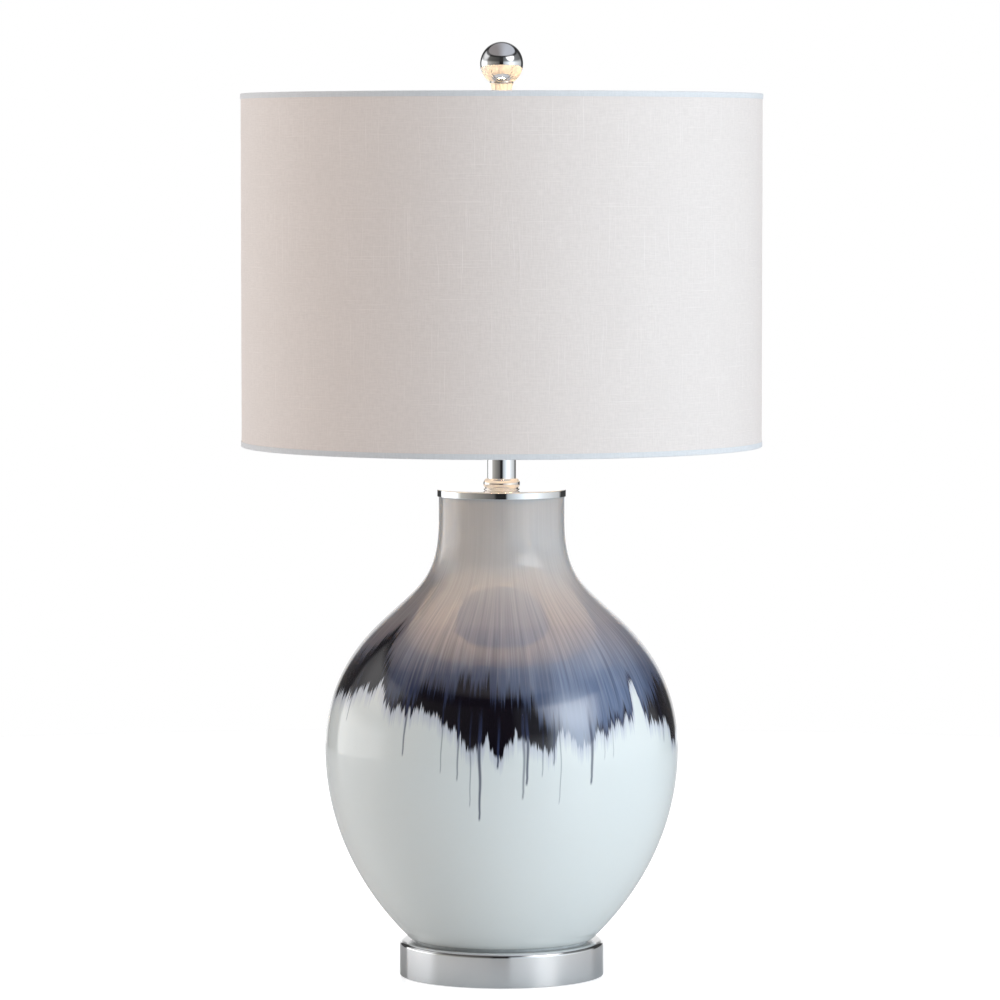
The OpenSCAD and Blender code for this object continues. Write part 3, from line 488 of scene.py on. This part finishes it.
# %% Glaze: the finish
WHITE = (0.87, 0.89, 0.865, 1)
HALO = (0.44, 0.45, 0.62, 1)
BLACK = (0.006, 0.004, 0.008, 1)
PLUM = (0.045, 0.030, 0.075, 1)
NAVY, STEEL = (0.034, 0.042, 0.088, 1), (0.165, 0.215, 0.34, 1)
SLATE, SKY = (0.115, 0.117, 0.165, 1), (0.235, 0.275, 0.38, 1)
MAUVE = (0.325, 0.312, 0.35, 1)
GREY = (0.46, 0.46, 0.47, 1)
# The first of these is a painted shade for the shoulder's left side.
PAINTED_SHADE, STREAK, DEEP = (0.05, 0.05, 0.065, 1), (0.58, 0.58, 0.62, 1), (0.05, 0.055, 0.10, 1)
# The first of these is the colour of a painted highlight; the second is the glaze of the runs.
PAINTED_HIGHLIGHT, RUN = (0.50, 0.55, 0.66, 1), (0.035, 0.045, 0.10, 1)
LINES_FROM = 1.4  # the lines' heights in mm start this far over the table


def glaze():
    gloss = {"IOR": 1.72, "Sheen_Weight": 0.22, "Sheen_Roughness": 0.28}
    material, tree, shader, where = start_finish("art_glass", (0.8, 0.83, 0.83), 0.03, **gloss)
    part = add(tree, "ShaderNodeSeparateXYZ", {0: where})
    x, y, z = part.outputs
    turn = maths(tree, "ARCTAN2", x, maths(tree, "MULTIPLY", y, -1.0))
    angle = maths(tree, "MULTIPLY", turn, 180 / math.pi)
    around = ramp(tree, angle, -180, 180)
    height = maths(tree, "MULTIPLY", maths(tree, "SUBTRACT", z, LINES_FROM / 1000), 1000)
    square = maths(tree, "ADD", maths(tree, "MULTIPLY", x, x), maths(tree, "MULTIPLY", y, y))
    radius = maths(tree, "MULTIPLY", maths(tree, "SQRT", square), 1000)
    ring = add(tree, "ShaderNodeCombineXYZ", {
        0: maths(tree, "SINE", turn), 1: maths(tree, "COSINE", turn), 2: z})

    def strokes(count, length, detail=2.0):
        """Upright strokes: about count of them round the vase, each about length mm long."""
        scale = (count / 6.3, count / 6.3, 1000 / length)
        return noise(tree, stretched(tree, ring.outputs[0], scale), 1.0, detail, 0.55)

    def times(a, b):
        return maths(tree, "MULTIPLY", a, b)

    broad, fine, hair = strokes(80, 90), strokes(300, 70), strokes(800, 60)
    fray = maths(tree, "ADD", times(maths(tree, "SUBTRACT", broad, 0.5), 14.0),
        times(maths(tree, "SUBTRACT", fine, 0.5), 20.0))
    fray = maths(tree, "ADD", fray, times(maths(tree, "SUBTRACT", hair, 0.5), 16.0))
    edge = maths(tree, "ADD", hand_curve(tree, around, EDGE, 160, 230), fray)
    above = maths(tree, "SUBTRACT", height, edge)

    pool = hand_curve(tree, around, POOLS, 0, 50)
    over = maths(tree, "SUBTRACT", above, maths(tree, "ADD", pool, times(fray, 0.9)))
    black = ramp(tree, over, 9.0, -7.0, smooth=True)

    thin = ramp(tree, hand_curve(tree, around, THIN, 0, 100), 0, 100)
    thin = maths(tree, "ADD", thin, times(maths(tree, "SUBTRACT", broad, 0.5), 0.8), clamp=True)
    low_wash, high_wash = blend(tree, thin, NAVY, STEEL), blend(tree, thin, SLATE, SKY)
    wash = blend(tree, ramp(tree, height, 216, 240), low_wash, high_wash)
    wash = blend(tree, ramp(tree, height, 228, 262), wash, MAUVE)
    wash = blend(tree, ramp(tree, height, 258, 300), wash, GREY)
    # Painted shade: the glaze is darkened on the shoulder's left side, where less light falls.
    left_painted_shade = times(ramp(tree, angle, -40, -52), ramp(tree, angle, -130, -95))
    left_painted_shade = times(left_painted_shade, ramp(tree, height, 306, 288))
    wash = blend(tree, times(left_painted_shade, 0.5), wash, PAINTED_SHADE)
    streak = maths(tree, "ADD", times(fine, 0.6), times(hair, 0.4))
    wash = blend(tree, ramp(tree, streak, 0.46, 0.70, 0.0, 0.16, smooth=True), wash, STREAK)
    deep = times(ramp(tree, streak, 0.56, 0.30, smooth=True), ramp(tree, height, 310, 215, 0.04, 0.42))
    wash = blend(tree, deep, wash, DEEP)
    wash = blend(tree, ramp(tree, above, 8.0, -1.0, 0.0, 0.9), wash, PLUM)
    dark = blend(tree, black, wash, BLACK)
    # Painted highlight: a soft pale patch round 24 degrees, just above the glaze's lower edge.
    off_highlight = maths(tree, "ABSOLUTE", maths(tree, "SUBTRACT", angle, 24.5))
    haze = times(ramp(tree, off_highlight, 11, 2, smooth=True), ramp(tree, height, 226, 198, smooth=True))
    dark = blend(tree, times(haze, 0.75), dark, PAINTED_HIGHLIGHT)
    covered = ramp(tree, above, -1.6, 2.2, smooth=True)
    halo = ramp(tree, above, -11.0, 0.0, 0.0, 0.5)
    colour = blend(tree, covered, blend(tree, halo, WHITE, HALO), dark)

    group = run_group()
    runs = 0.0
    for centre, tip, half_width, strength in RUNS:
        node = tree.nodes.new("ShaderNodeGroup")
        node.node_tree = group
        for key, wire in (("Angle", angle), ("Height", height), ("Radius", radius)):
            tree.links.new(wire, node.inputs[key])
        node.inputs["Centre"].default_value = centre
        node.inputs["Tip"].default_value = tip
        node.inputs["Half Width"].default_value = half_width
        runs = maths(tree, "MAXIMUM", runs, times(node.outputs[0], strength))
    colour = blend(tree, times(runs, ramp(tree, above, 28, 6)), colour, RUN)
    tree.links.new(colour, shader.inputs["Base Color"])
    ripple = noise(tree, where, 14.0, 1.0)
    tree.links.new(bump(tree, ripple, 0.0004, 0.25), shader.inputs["Normal"])
    return material


FINISH["art_glass"] = glaze()
print("glaze: done")

# %% [markdown]
# ## One lathe for every turned piece
# A turned piece is an outline spun round an axis. Blender's Screw modifier can spin, but a Geometry Nodes
# tree is clearer and has named inputs: the object's own mesh is the outline, a circle is the path, and Curve
# to Mesh sweeps one along the other. The path's radius is one metre, so an outline point at radius r goes in
# at r - 1, and its height is turned over because the sweep's second axis points down. Two inputs fray the
# surface a little for cloth, and stay at zero for metal and glass.

# %% The lathe
PATH_RADIUS = 1.0


def lathe_tree():
    tree = bpy.data.node_groups.new("lathe", "GeometryNodeTree")
    face = tree.interface
    face.new_socket("Outline", in_out="INPUT", socket_type="NodeSocketGeometry")
    face.new_socket("Steps", in_out="INPUT", socket_type="NodeSocketInt")
    face.new_socket("Fray", in_out="INPUT", socket_type="NodeSocketFloat")
    face.new_socket("Fray Size", in_out="INPUT", socket_type="NodeSocketFloat")
    face.new_socket("Finish", in_out="INPUT", socket_type="NodeSocketMaterial")
    face.new_socket("Piece", in_out="OUTPUT", socket_type="NodeSocketGeometry")
    given = tree.nodes.new("NodeGroupInput").outputs
    outline = add(tree, "GeometryNodeMeshToCurve", {"Mesh": given["Outline"]})
    circle = {"Resolution": given["Steps"], "Radius": PATH_RADIUS}
    path = add(tree, "GeometryNodeCurvePrimitiveCircle", circle)
    sweep = {"Curve": path.outputs[0], "Profile Curve": outline.outputs[0]}
    swept = add(tree, "GeometryNodeCurveToMesh", sweep)
    merged = add(tree, "GeometryNodeMergeByDistance", {"Geometry": swept.outputs[0], "Distance": 2e-6})
    place = add(tree, "GeometryNodeInputPosition").outputs[0]
    rough = add(tree, "ShaderNodeTexNoise", {"Vector": place, "Scale": 1.0, "Detail": 2.0})
    size = add(tree, "ShaderNodeMath", {0: 1.0, 1: given["Fray Size"]}, operation="DIVIDE")
    tree.links.new(size.outputs[0], rough.inputs["Scale"])
    amount = add(tree, "ShaderNodeMath", {0: rough.outputs["Fac"], 1: 0.5}, operation="SUBTRACT")
    amount = add(tree, "ShaderNodeMath", {0: amount.outputs[0], 1: given["Fray"]}, operation="MULTIPLY")
    normal = add(tree, "GeometryNodeInputNormal").outputs[0]
    offset = add(tree, "ShaderNodeVectorMath", {0: normal, "Scale": amount.outputs[0]}, operation="SCALE")
    moved = add(tree, "GeometryNodeSetPosition", {"Geometry": merged.outputs[0], "Offset": offset.outputs[0]})
    whole = add(tree, "GeometryNodeRealizeInstances", {0: moved.outputs[0]})
    done = add(tree, "GeometryNodeSetMaterial", {"Geometry": whole.outputs[0], "Material": given["Finish"]})
    out = tree.nodes.new("NodeGroupOutput")
    tree.links.new(done.outputs[0], out.inputs[0])
    return tree


LATHE = lathe_tree()


def run_tree(name, mesh, tree, values):
    """Runs a Geometry Nodes tree on a mesh and returns the result as a new plain object."""
    carrier = bpy.data.objects.new(name + "_carrier", mesh)
    bpy.context.scene.collection.objects.link(carrier)
    modifier = carrier.modifiers.new("nodes", "NODES")
    modifier.node_group = tree
    for item in tree.interface.items_tree:
        if item.in_out == "INPUT" and item.name in values:
            modifier[item.identifier] = values[item.name]
    graph = bpy.context.evaluated_depsgraph_get()
    result = bpy.data.meshes.new_from_object(carrier.evaluated_get(graph))
    result.name = name
    bpy.data.objects.remove(carrier)
    piece = bpy.data.objects.new(name, result)
    bpy.context.scene.collection.objects.link(piece)
    return piece


def tidy(piece, sharp=32.0):
    """Points all faces outwards, shades them smooth and keeps edges sharper than that many degrees crisp."""
    shape = bmesh.new()
    shape.from_mesh(piece.data)
    bmesh.ops.remove_doubles(shape, verts=shape.verts, dist=1e-6)
    bmesh.ops.recalc_face_normals(shape, faces=shape.faces)
    if shape.calc_volume(signed=True) < 0:
        bmesh.ops.reverse_faces(shape, faces=shape.faces)
    shape.to_mesh(piece.data)
    shape.free()
    piece.data.polygons.foreach_set("use_smooth", [True] * len(piece.data.polygons))
    piece.data.set_sharp_from_angle(angle=math.radians(sharp))
    return piece


def fit(piece, body, slot, *nodes):
    """Lets a piece ride on its body and stand for its CAD nodes, which it hides; slot is not used."""
    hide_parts(*nodes)
    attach(piece, body)
    print(f"{piece.name}: {len(piece.data.polygons)} faces, for {', '.join(nodes)}")
    return piece


def turn(name, outline, steps, slot, body, nodes, closed=True, fray=0.0, fray_size=1.0, sharp=32.0):
    """Turns an outline of (radius, height) points, in metres, into a piece that stands for CAD nodes."""
    mesh = bpy.data.meshes.new(name + "_outline")
    count = len(outline)
    edges = [(i, (i + 1) % count) for i in range(count if closed else count - 1)]
    mesh.from_pydata([(r - PATH_RADIUS, -z, 0) for r, z in outline], edges, [])
    values = {"Steps": steps, "Fray": fray, "Fray Size": fray_size, "Finish": FINISH[slot]}
    piece = tidy(run_tree(name, mesh, LATHE, values), sharp)
    return fit(piece, body, slot, *nodes)

# %% [markdown]
# ## Outlines
# Outlines are made of straight lines, arcs and Bezier curves, as on a drawing board. Every straight corner on
# polished metal gets a small round edge: a real edge is never perfectly sharp, and it's the round that
# catches the light.

# %% Outline helpers
def bezier(a, b, c, d, steps):
    points = []
    for i in range(steps + 1):
        t = i / steps
        s = 1 - t
        points.append(tuple(
            s**3 * a[k] + 3 * s * s * t * b[k] + 3 * s * t * t * c[k] + t**3 * d[k] for k in (0, 1)))
    return points


def rounded(corners, steps=5):
    """A closed outline with round corners, from (radius, height, size of the round) corners."""
    points = []
    count = len(corners)
    for i, (r, z, size) in enumerate(corners):
        here = Vector((r, z))
        back = Vector(corners[i - 1][:2]) - here
        ahead = Vector(corners[(i + 1) % count][:2]) - here
        if size <= 0:
            points.append((r, z))
            continue
        reach = min(size, 0.45 * back.length, 0.45 * ahead.length)
        start, end = here + back.normalized() * reach, here + ahead.normalized() * reach
        for k in range(steps + 1):
            t = k / steps
            spot = (1 - t) ** 2 * start + 2 * t * (1 - t) * here + t * t * end
            points.append((spot.x, spot.y))
    return points


def beside(line, distance):
    """The line moved sideways by distance, to the right of its direction."""
    moved = []
    for i, point in enumerate(line):
        a, b = Vector(line[max(i - 1, 0)]), Vector(line[min(i + 1, len(line) - 1)])
        way = (b - a).normalized()
        moved.append((point[0] + distance * way.y, point[1] - distance * way.x))
    return moved

# %% [markdown]
# ## The vase
# Its outline has three sweeps: the neck's hollow cove, the full shoulder, and the long belly that runs in to
# the heel. They meet with the same direction, so no kink shows in a reflection. The wall has real
# thickness, and the inside follows the outside.

# %% Vase
def vase_outline():
    low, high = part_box("glass_body")
    base, top, belly_r = low.z, high.z, high.x
    neck_r, heel_r, wall, floor_t, hole_r = 45.95 * MM, 67.95 * MM, 4.5 * MM, 6 * MM, 14 * MM
    neck = (neck_r, top - 17.1 * MM)
    bend = (82.75 * MM, top - 88.5 * MM)
    belly = (belly_r, base + 140 * MM)
    heel = (heel_r, base + 1.2 * MM)
    cove, rise, drop = neck[1] - bend[1], bend[1] - belly[1], belly[1] - base
    cove_full, shoulder_full, belly_full = (0.58, 0.474), (0.196, 0.567), (0.468, 0.272)
    shoulder_slope, heel_slope = math.radians(-42.5), math.radians(-135.5)
    out = (math.cos(shoulder_slope), math.sin(shoulder_slope))
    under = (math.cos(heel_slope), math.sin(heel_slope))

    def along(point, way, reach):
        return (point[0] + way[0] * reach, point[1] + way[1] * reach)

    outside = [(neck_r, top)]
    outside += bezier(
        neck, (neck_r, neck[1] - cove_full[0] * cove), along(bend, out, -cove_full[1] * cove), bend, 34)
    outside += bezier(
        bend, along(bend, out, shoulder_full[0] * rise), (belly_r, belly[1] + shoulder_full[1] * rise),
        belly, 40)[1:]
    outside += bezier(
        belly, (belly_r, belly[1] - belly_full[0] * drop), along(heel, under, -belly_full[1] * drop),
        heel, 44)[1:]
    outside += bezier(
        heel, along(heel, under, 1.1 * MM), (heel_r - 1.8 * MM, base), (heel_r - 2.9 * MM, base), 5)[1:]
    inside = [p for p in beside(outside, wall) if base + floor_t + 2 * MM < p[1] < top - 0.5 * MM]
    inner = [(neck_r - wall, top)] + inside + [(inside[-1][0] - 3 * MM, base + floor_t)]
    return outside + [(hole_r, base), (hole_r, base + floor_t)] + inner[::-1]


turn("vase", vase_outline(), 320, "art_glass", "lamp", ["glass_body"], sharp=40)

# %% [markdown]
# ## Chrome: foot, cap, collar, tube and finial
# Each is one outline on the same lathe. The foot is a shallow drum, the cap a disc with a turned-down rim,
# and the collar a swollen ring that hides the joint between the tube and the cap.

# %% Foot
def foot_outline():
    low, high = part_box("base_foot")
    r, wall, hole = high.x, 1.6 * MM, 5.05 * MM
    under = high.z - wall
    return rounded([
        (hole, under, 0), (hole, high.z, 0.3 * MM), (r, high.z, 3.6 * MM), (r, low.z, 0.4 * MM),
        (r - wall, low.z, 0.3 * MM), (r - wall, under, 1.2 * MM),
    ], 8)


turn("foot_shell", foot_outline(), 320, "chrome_foot", "lamp", ["base_foot"])

# %% Cap, collar and tube
def cap_outline():
    low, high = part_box("vase_cap")
    r, skirt, under, hole = high.x, 1.0 * MM, high.z - 2 * MM, 5.05 * MM
    return rounded([
        (hole, under, 0), (hole, high.z, 0.2 * MM), (r, high.z, 0.7 * MM), (r, low.z, 0.3 * MM),
        (r - skirt, low.z, 0.2 * MM), (r - skirt, under, 0.2 * MM),
    ], 6)


def collar_outline():
    low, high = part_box("neck_collar")
    hole, r = 10.5 * MM, high.x
    height = high.z - low.z
    swell, middle = r - hole, low.z + 0.53 * height
    foot = [(hole, low.z), (r - 0.3 * MM, low.z), (r - 0.35 * MM, low.z + 0.35 * MM)]
    foot += [(r - 1.1 * MM, low.z + 0.6 * MM), (r - 1.5 * MM, low.z + 0.13 * height)]
    ball = []
    for k in range(25):
        angle = math.radians(-60 + 6 * k)
        ball.append((hole + swell * math.cos(angle), middle + 0.47 * height * math.sin(angle)))
    return foot + ball + [(hole, high.z)]


def tube_outline(node, wall, corner):
    low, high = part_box(node)
    inner, outer = high.x - wall, high.x
    return rounded([(inner, low.z, 0), (outer, low.z, 0), (outer, high.z, corner), (inner, high.z, 0)])


turn("cap", cap_outline(), 288, "chrome_neck", "lamp", ["vase_cap"])
turn("collar", collar_outline(), 192, "chrome_neck", "lamp", ["neck_collar"])
turn("tube", tube_outline("neck_tube", 1.2 * MM, 0.3 * MM), 192, "chrome_neck", "lamp", ["neck_tube"])

# %% Finial
def ball_outline():
    low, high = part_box("finial_ball")
    r = (high.z - low.z) / 2
    middle = (high.z + low.z) / 2
    angles = [math.radians(3 * k) for k in range(61)]
    return [(r * math.sin(a), middle + r * math.cos(a)) for a in angles]


def stem_outline():
    low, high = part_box("finial_base")
    foot, waist, lip, bore = 8.5 * MM, 6.2 * MM, high.x, 3.2 * MM
    top = high.z - 0.5 * MM
    side = bezier((foot - 0.5 * MM, low.z + 2 * MM), (waist, low.z + 4 * MM), (waist, top - 8 * MM),
        (lip - 0.6 * MM, top - 1 * MM), 24)
    foot_edge = [(bore, low.z), (foot - 0.2 * MM, low.z), (foot, low.z + 0.2 * MM), (foot, low.z + 1.2 * MM),
        (foot - 0.1 * MM, low.z + 1.6 * MM)]
    rim = [(lip - 0.15 * MM, top - 0.75 * MM), (lip, top - 0.4 * MM), (lip - 0.15 * MM, top),
        (lip - 1.1 * MM, high.z)]
    return foot_edge + side + rim + [(0, high.z), (0, low.z + 14 * MM), (bore, low.z + 14 * MM)]


turn("finial_knob", ball_outline(), 128, "chrome_finial", "finial", ["finial_ball"], closed=False)
turn("finial_stem", stem_outline(), 128, "chrome_finial", "finial", ["finial_base"])

# %% [markdown]
# ## The shade
# The cover is one sheet of linen, stretched round a stiff lining. Its slubs are real relief here: the sheet
# has far more columns than rows, because the thick yarns run upright. The tree makes a grid, rolls it into a
# drum, and pushes each point out by a long thin noise. It also stores the UV map that the weave reads.

# %% Cover
def cover_tree():
    tree = bpy.data.node_groups.new("stretched_cover", "GeometryNodeTree")
    face = tree.interface
    face.new_socket("Geometry", in_out="INPUT", socket_type="NodeSocketGeometry")
    for name in ("Radius", "Thickness", "Bottom", "Top", "Slub Height"):
        face.new_socket(name, in_out="INPUT", socket_type="NodeSocketFloat")
    for name in ("Columns", "Rows"):
        face.new_socket(name, in_out="INPUT", socket_type="NodeSocketInt")
    face.new_socket("Finish", in_out="INPUT", socket_type="NodeSocketMaterial")
    face.new_socket("Cover", in_out="OUTPUT", socket_type="NodeSocketGeometry")
    given = tree.nodes.new("NodeGroupInput").outputs

    def calc(operation, a, b=0.0, c=0.0):
        return add(tree, "ShaderNodeMath", {0: a, 1: b, 2: c}, operation=operation).outputs[0]

    around = calc("MULTIPLY", given["Radius"], 2 * math.pi)
    tall = calc("SUBTRACT", given["Top"], given["Bottom"])
    grid = add(tree, "GeometryNodeMeshGrid", {"Size X": around, "Size Y": tall,
        "Vertices X": given["Columns"], "Vertices Y": given["Rows"]})
    spot = add(tree, "ShaderNodeSeparateXYZ", {0: add(tree, "GeometryNodeInputPosition").outputs[0]})
    angle = calc("DIVIDE", spot.outputs[0], given["Radius"])
    height = calc("ADD", calc("ADD", spot.outputs[1], calc("MULTIPLY", tall, 0.5)), given["Bottom"])
    ring = add(tree, "ShaderNodeCombineXYZ", {0: calc("SINE", angle), 1: calc("COSINE", angle), 2: height})
    drawn_out = {0: ring.outputs[0], 1: (110, 110, 22)}
    long_thin = add(tree, "ShaderNodeVectorMath", drawn_out, operation="MULTIPLY")
    slub = add(tree, "ShaderNodeTexNoise", {"Vector": long_thin.outputs[0], "Scale": 1.0, "Detail": 1.0})
    thick = calc("MULTIPLY", calc("MAXIMUM", calc("SUBTRACT", slub.outputs["Fac"], 0.60), 0.0), 6.0)
    relief = calc("MULTIPLY", calc("MINIMUM", thick, 1.0), given["Slub Height"])
    reach = calc("ADD", given["Radius"], relief)
    placed = add(tree, "ShaderNodeCombineXYZ", {0: calc("MULTIPLY", calc("SINE", angle), reach),
        1: calc("MULTIPLY", calc("MULTIPLY", calc("COSINE", angle), reach), -1.0), 2: height})
    map_spot = add(tree, "ShaderNodeCombineXYZ", {0: spot.outputs[0], 1: height})
    mapped = add(tree, "GeometryNodeStoreNamedAttribute", {"Geometry": grid.outputs[0], "Name": "UVMap",
        "Value": map_spot.outputs[0]}, data_type="FLOAT2", domain="CORNER")
    roll = {"Geometry": mapped.outputs[0], "Position": placed.outputs[0]}
    rolled = add(tree, "GeometryNodeSetPosition", roll)
    dyed = {"Geometry": rolled.outputs[0], "Material": given["Finish"]}
    done = add(tree, "GeometryNodeSetMaterial", dyed)
    whole = add(tree, "GeometryNodeRealizeInstances", {0: done.outputs[0]})
    out = tree.nodes.new("NodeGroupOutput")
    tree.links.new(whole.outputs[0], out.inputs[0])
    return tree


def cover():
    low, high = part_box("shade_fabric")
    slub_height = 0.1 * MM
    values = {"Radius": high.x - slub_height, "Bottom": low.z, "Top": high.z, "Slub Height": slub_height,
        "Columns": 1601, "Rows": 33, "Finish": FINISH["linen"]}
    piece = run_tree("shade_cover", bpy.data.meshes.new("cover_start"), cover_tree(), values)
    shape = bmesh.new()
    shape.from_mesh(piece.data)
    bmesh.ops.remove_doubles(shape, verts=shape.verts, dist=2e-5)
    bmesh.ops.recalc_face_normals(shape, faces=shape.faces)
    shape.to_mesh(piece.data)
    shape.free()
    piece.data.polygons.foreach_set("use_smooth", [True] * len(piece.data.polygons))
    fit(piece, "shade", "linen", "shade_fabric")
    flat = (2 * math.pi * high.x, high.z - low.z)
    return piece, flat


shade_cover, cover_flat = cover()

# %% Hems
def hem_outline(node, edge_up):
    """The strip folded over an edge of the shade. edge_up says whether its outer edge is its top."""
    low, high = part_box(node)
    r, tall = high.x, high.z - low.z
    fold, thin = 185.7 * MM, 0.45 * MM  # the inner leg's radius, and the cloth's thickness
    corners = [
        (r - thin, 0, 0), (r - 0.15 * MM, 0, 0.1 * MM), (r, tall * 0.5, 0), (r, tall, 0.9 * MM),
        (fold, tall, 0.9 * MM), (fold, 0.2 * MM, 0.1 * MM), (fold + thin, 0.2 * MM, 0),
        (fold + thin, tall - thin, 0), (r - thin, tall - thin, 0),
    ]
    return rounded([(x, low.z + z if edge_up else high.z - z, size) for x, z, size in corners], 5)


def add_cloth_map(piece):
    """A UV map in metres, round and up, for a strip of cloth on the shade."""
    layer = piece.data.uv_layers.new(name="UVMap")
    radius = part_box("shade_fabric")[1].x
    points = piece.data.vertices
    for face in piece.data.polygons:
        turns = [math.atan2(points[v].co.x, -points[v].co.y) for v in face.vertices]
        if max(turns) - min(turns) > math.pi:
            turns = [t + 2 * math.pi if t < 0 else t for t in turns]
        for loop, vertex, angle in zip(face.loop_indices, face.vertices, turns):
            co = points[vertex].co
            layer.data[loop].uv = (angle * radius, co.z + math.hypot(co.x, co.y))


for name, node, edge_up in (("hem_top", "top_hem", True), ("hem_bottom", "bottom_hem", False)):
    outline = hem_outline(node, edge_up)
    hem = turn(name, outline, 420, "linen_hem", "shade", [node], fray=0.1 * MM, fray_size=6 * MM)
    add_cloth_map(hem)

# %% [markdown]
# ## CAD parts that keep their shape
# The parts inside the shade and under the foot are right as they are, so they only take a finish. Their slot
# in the record names it.

# %% Finishes for the rest
def dress(node, slot):
    mesh = frame["nodes"][node].data
    mesh.materials.clear()
    mesh.materials.append(FINISH[slot])


for part in frame["record"]["subparts"]:
    dress(part["node"], part["material_slot"])
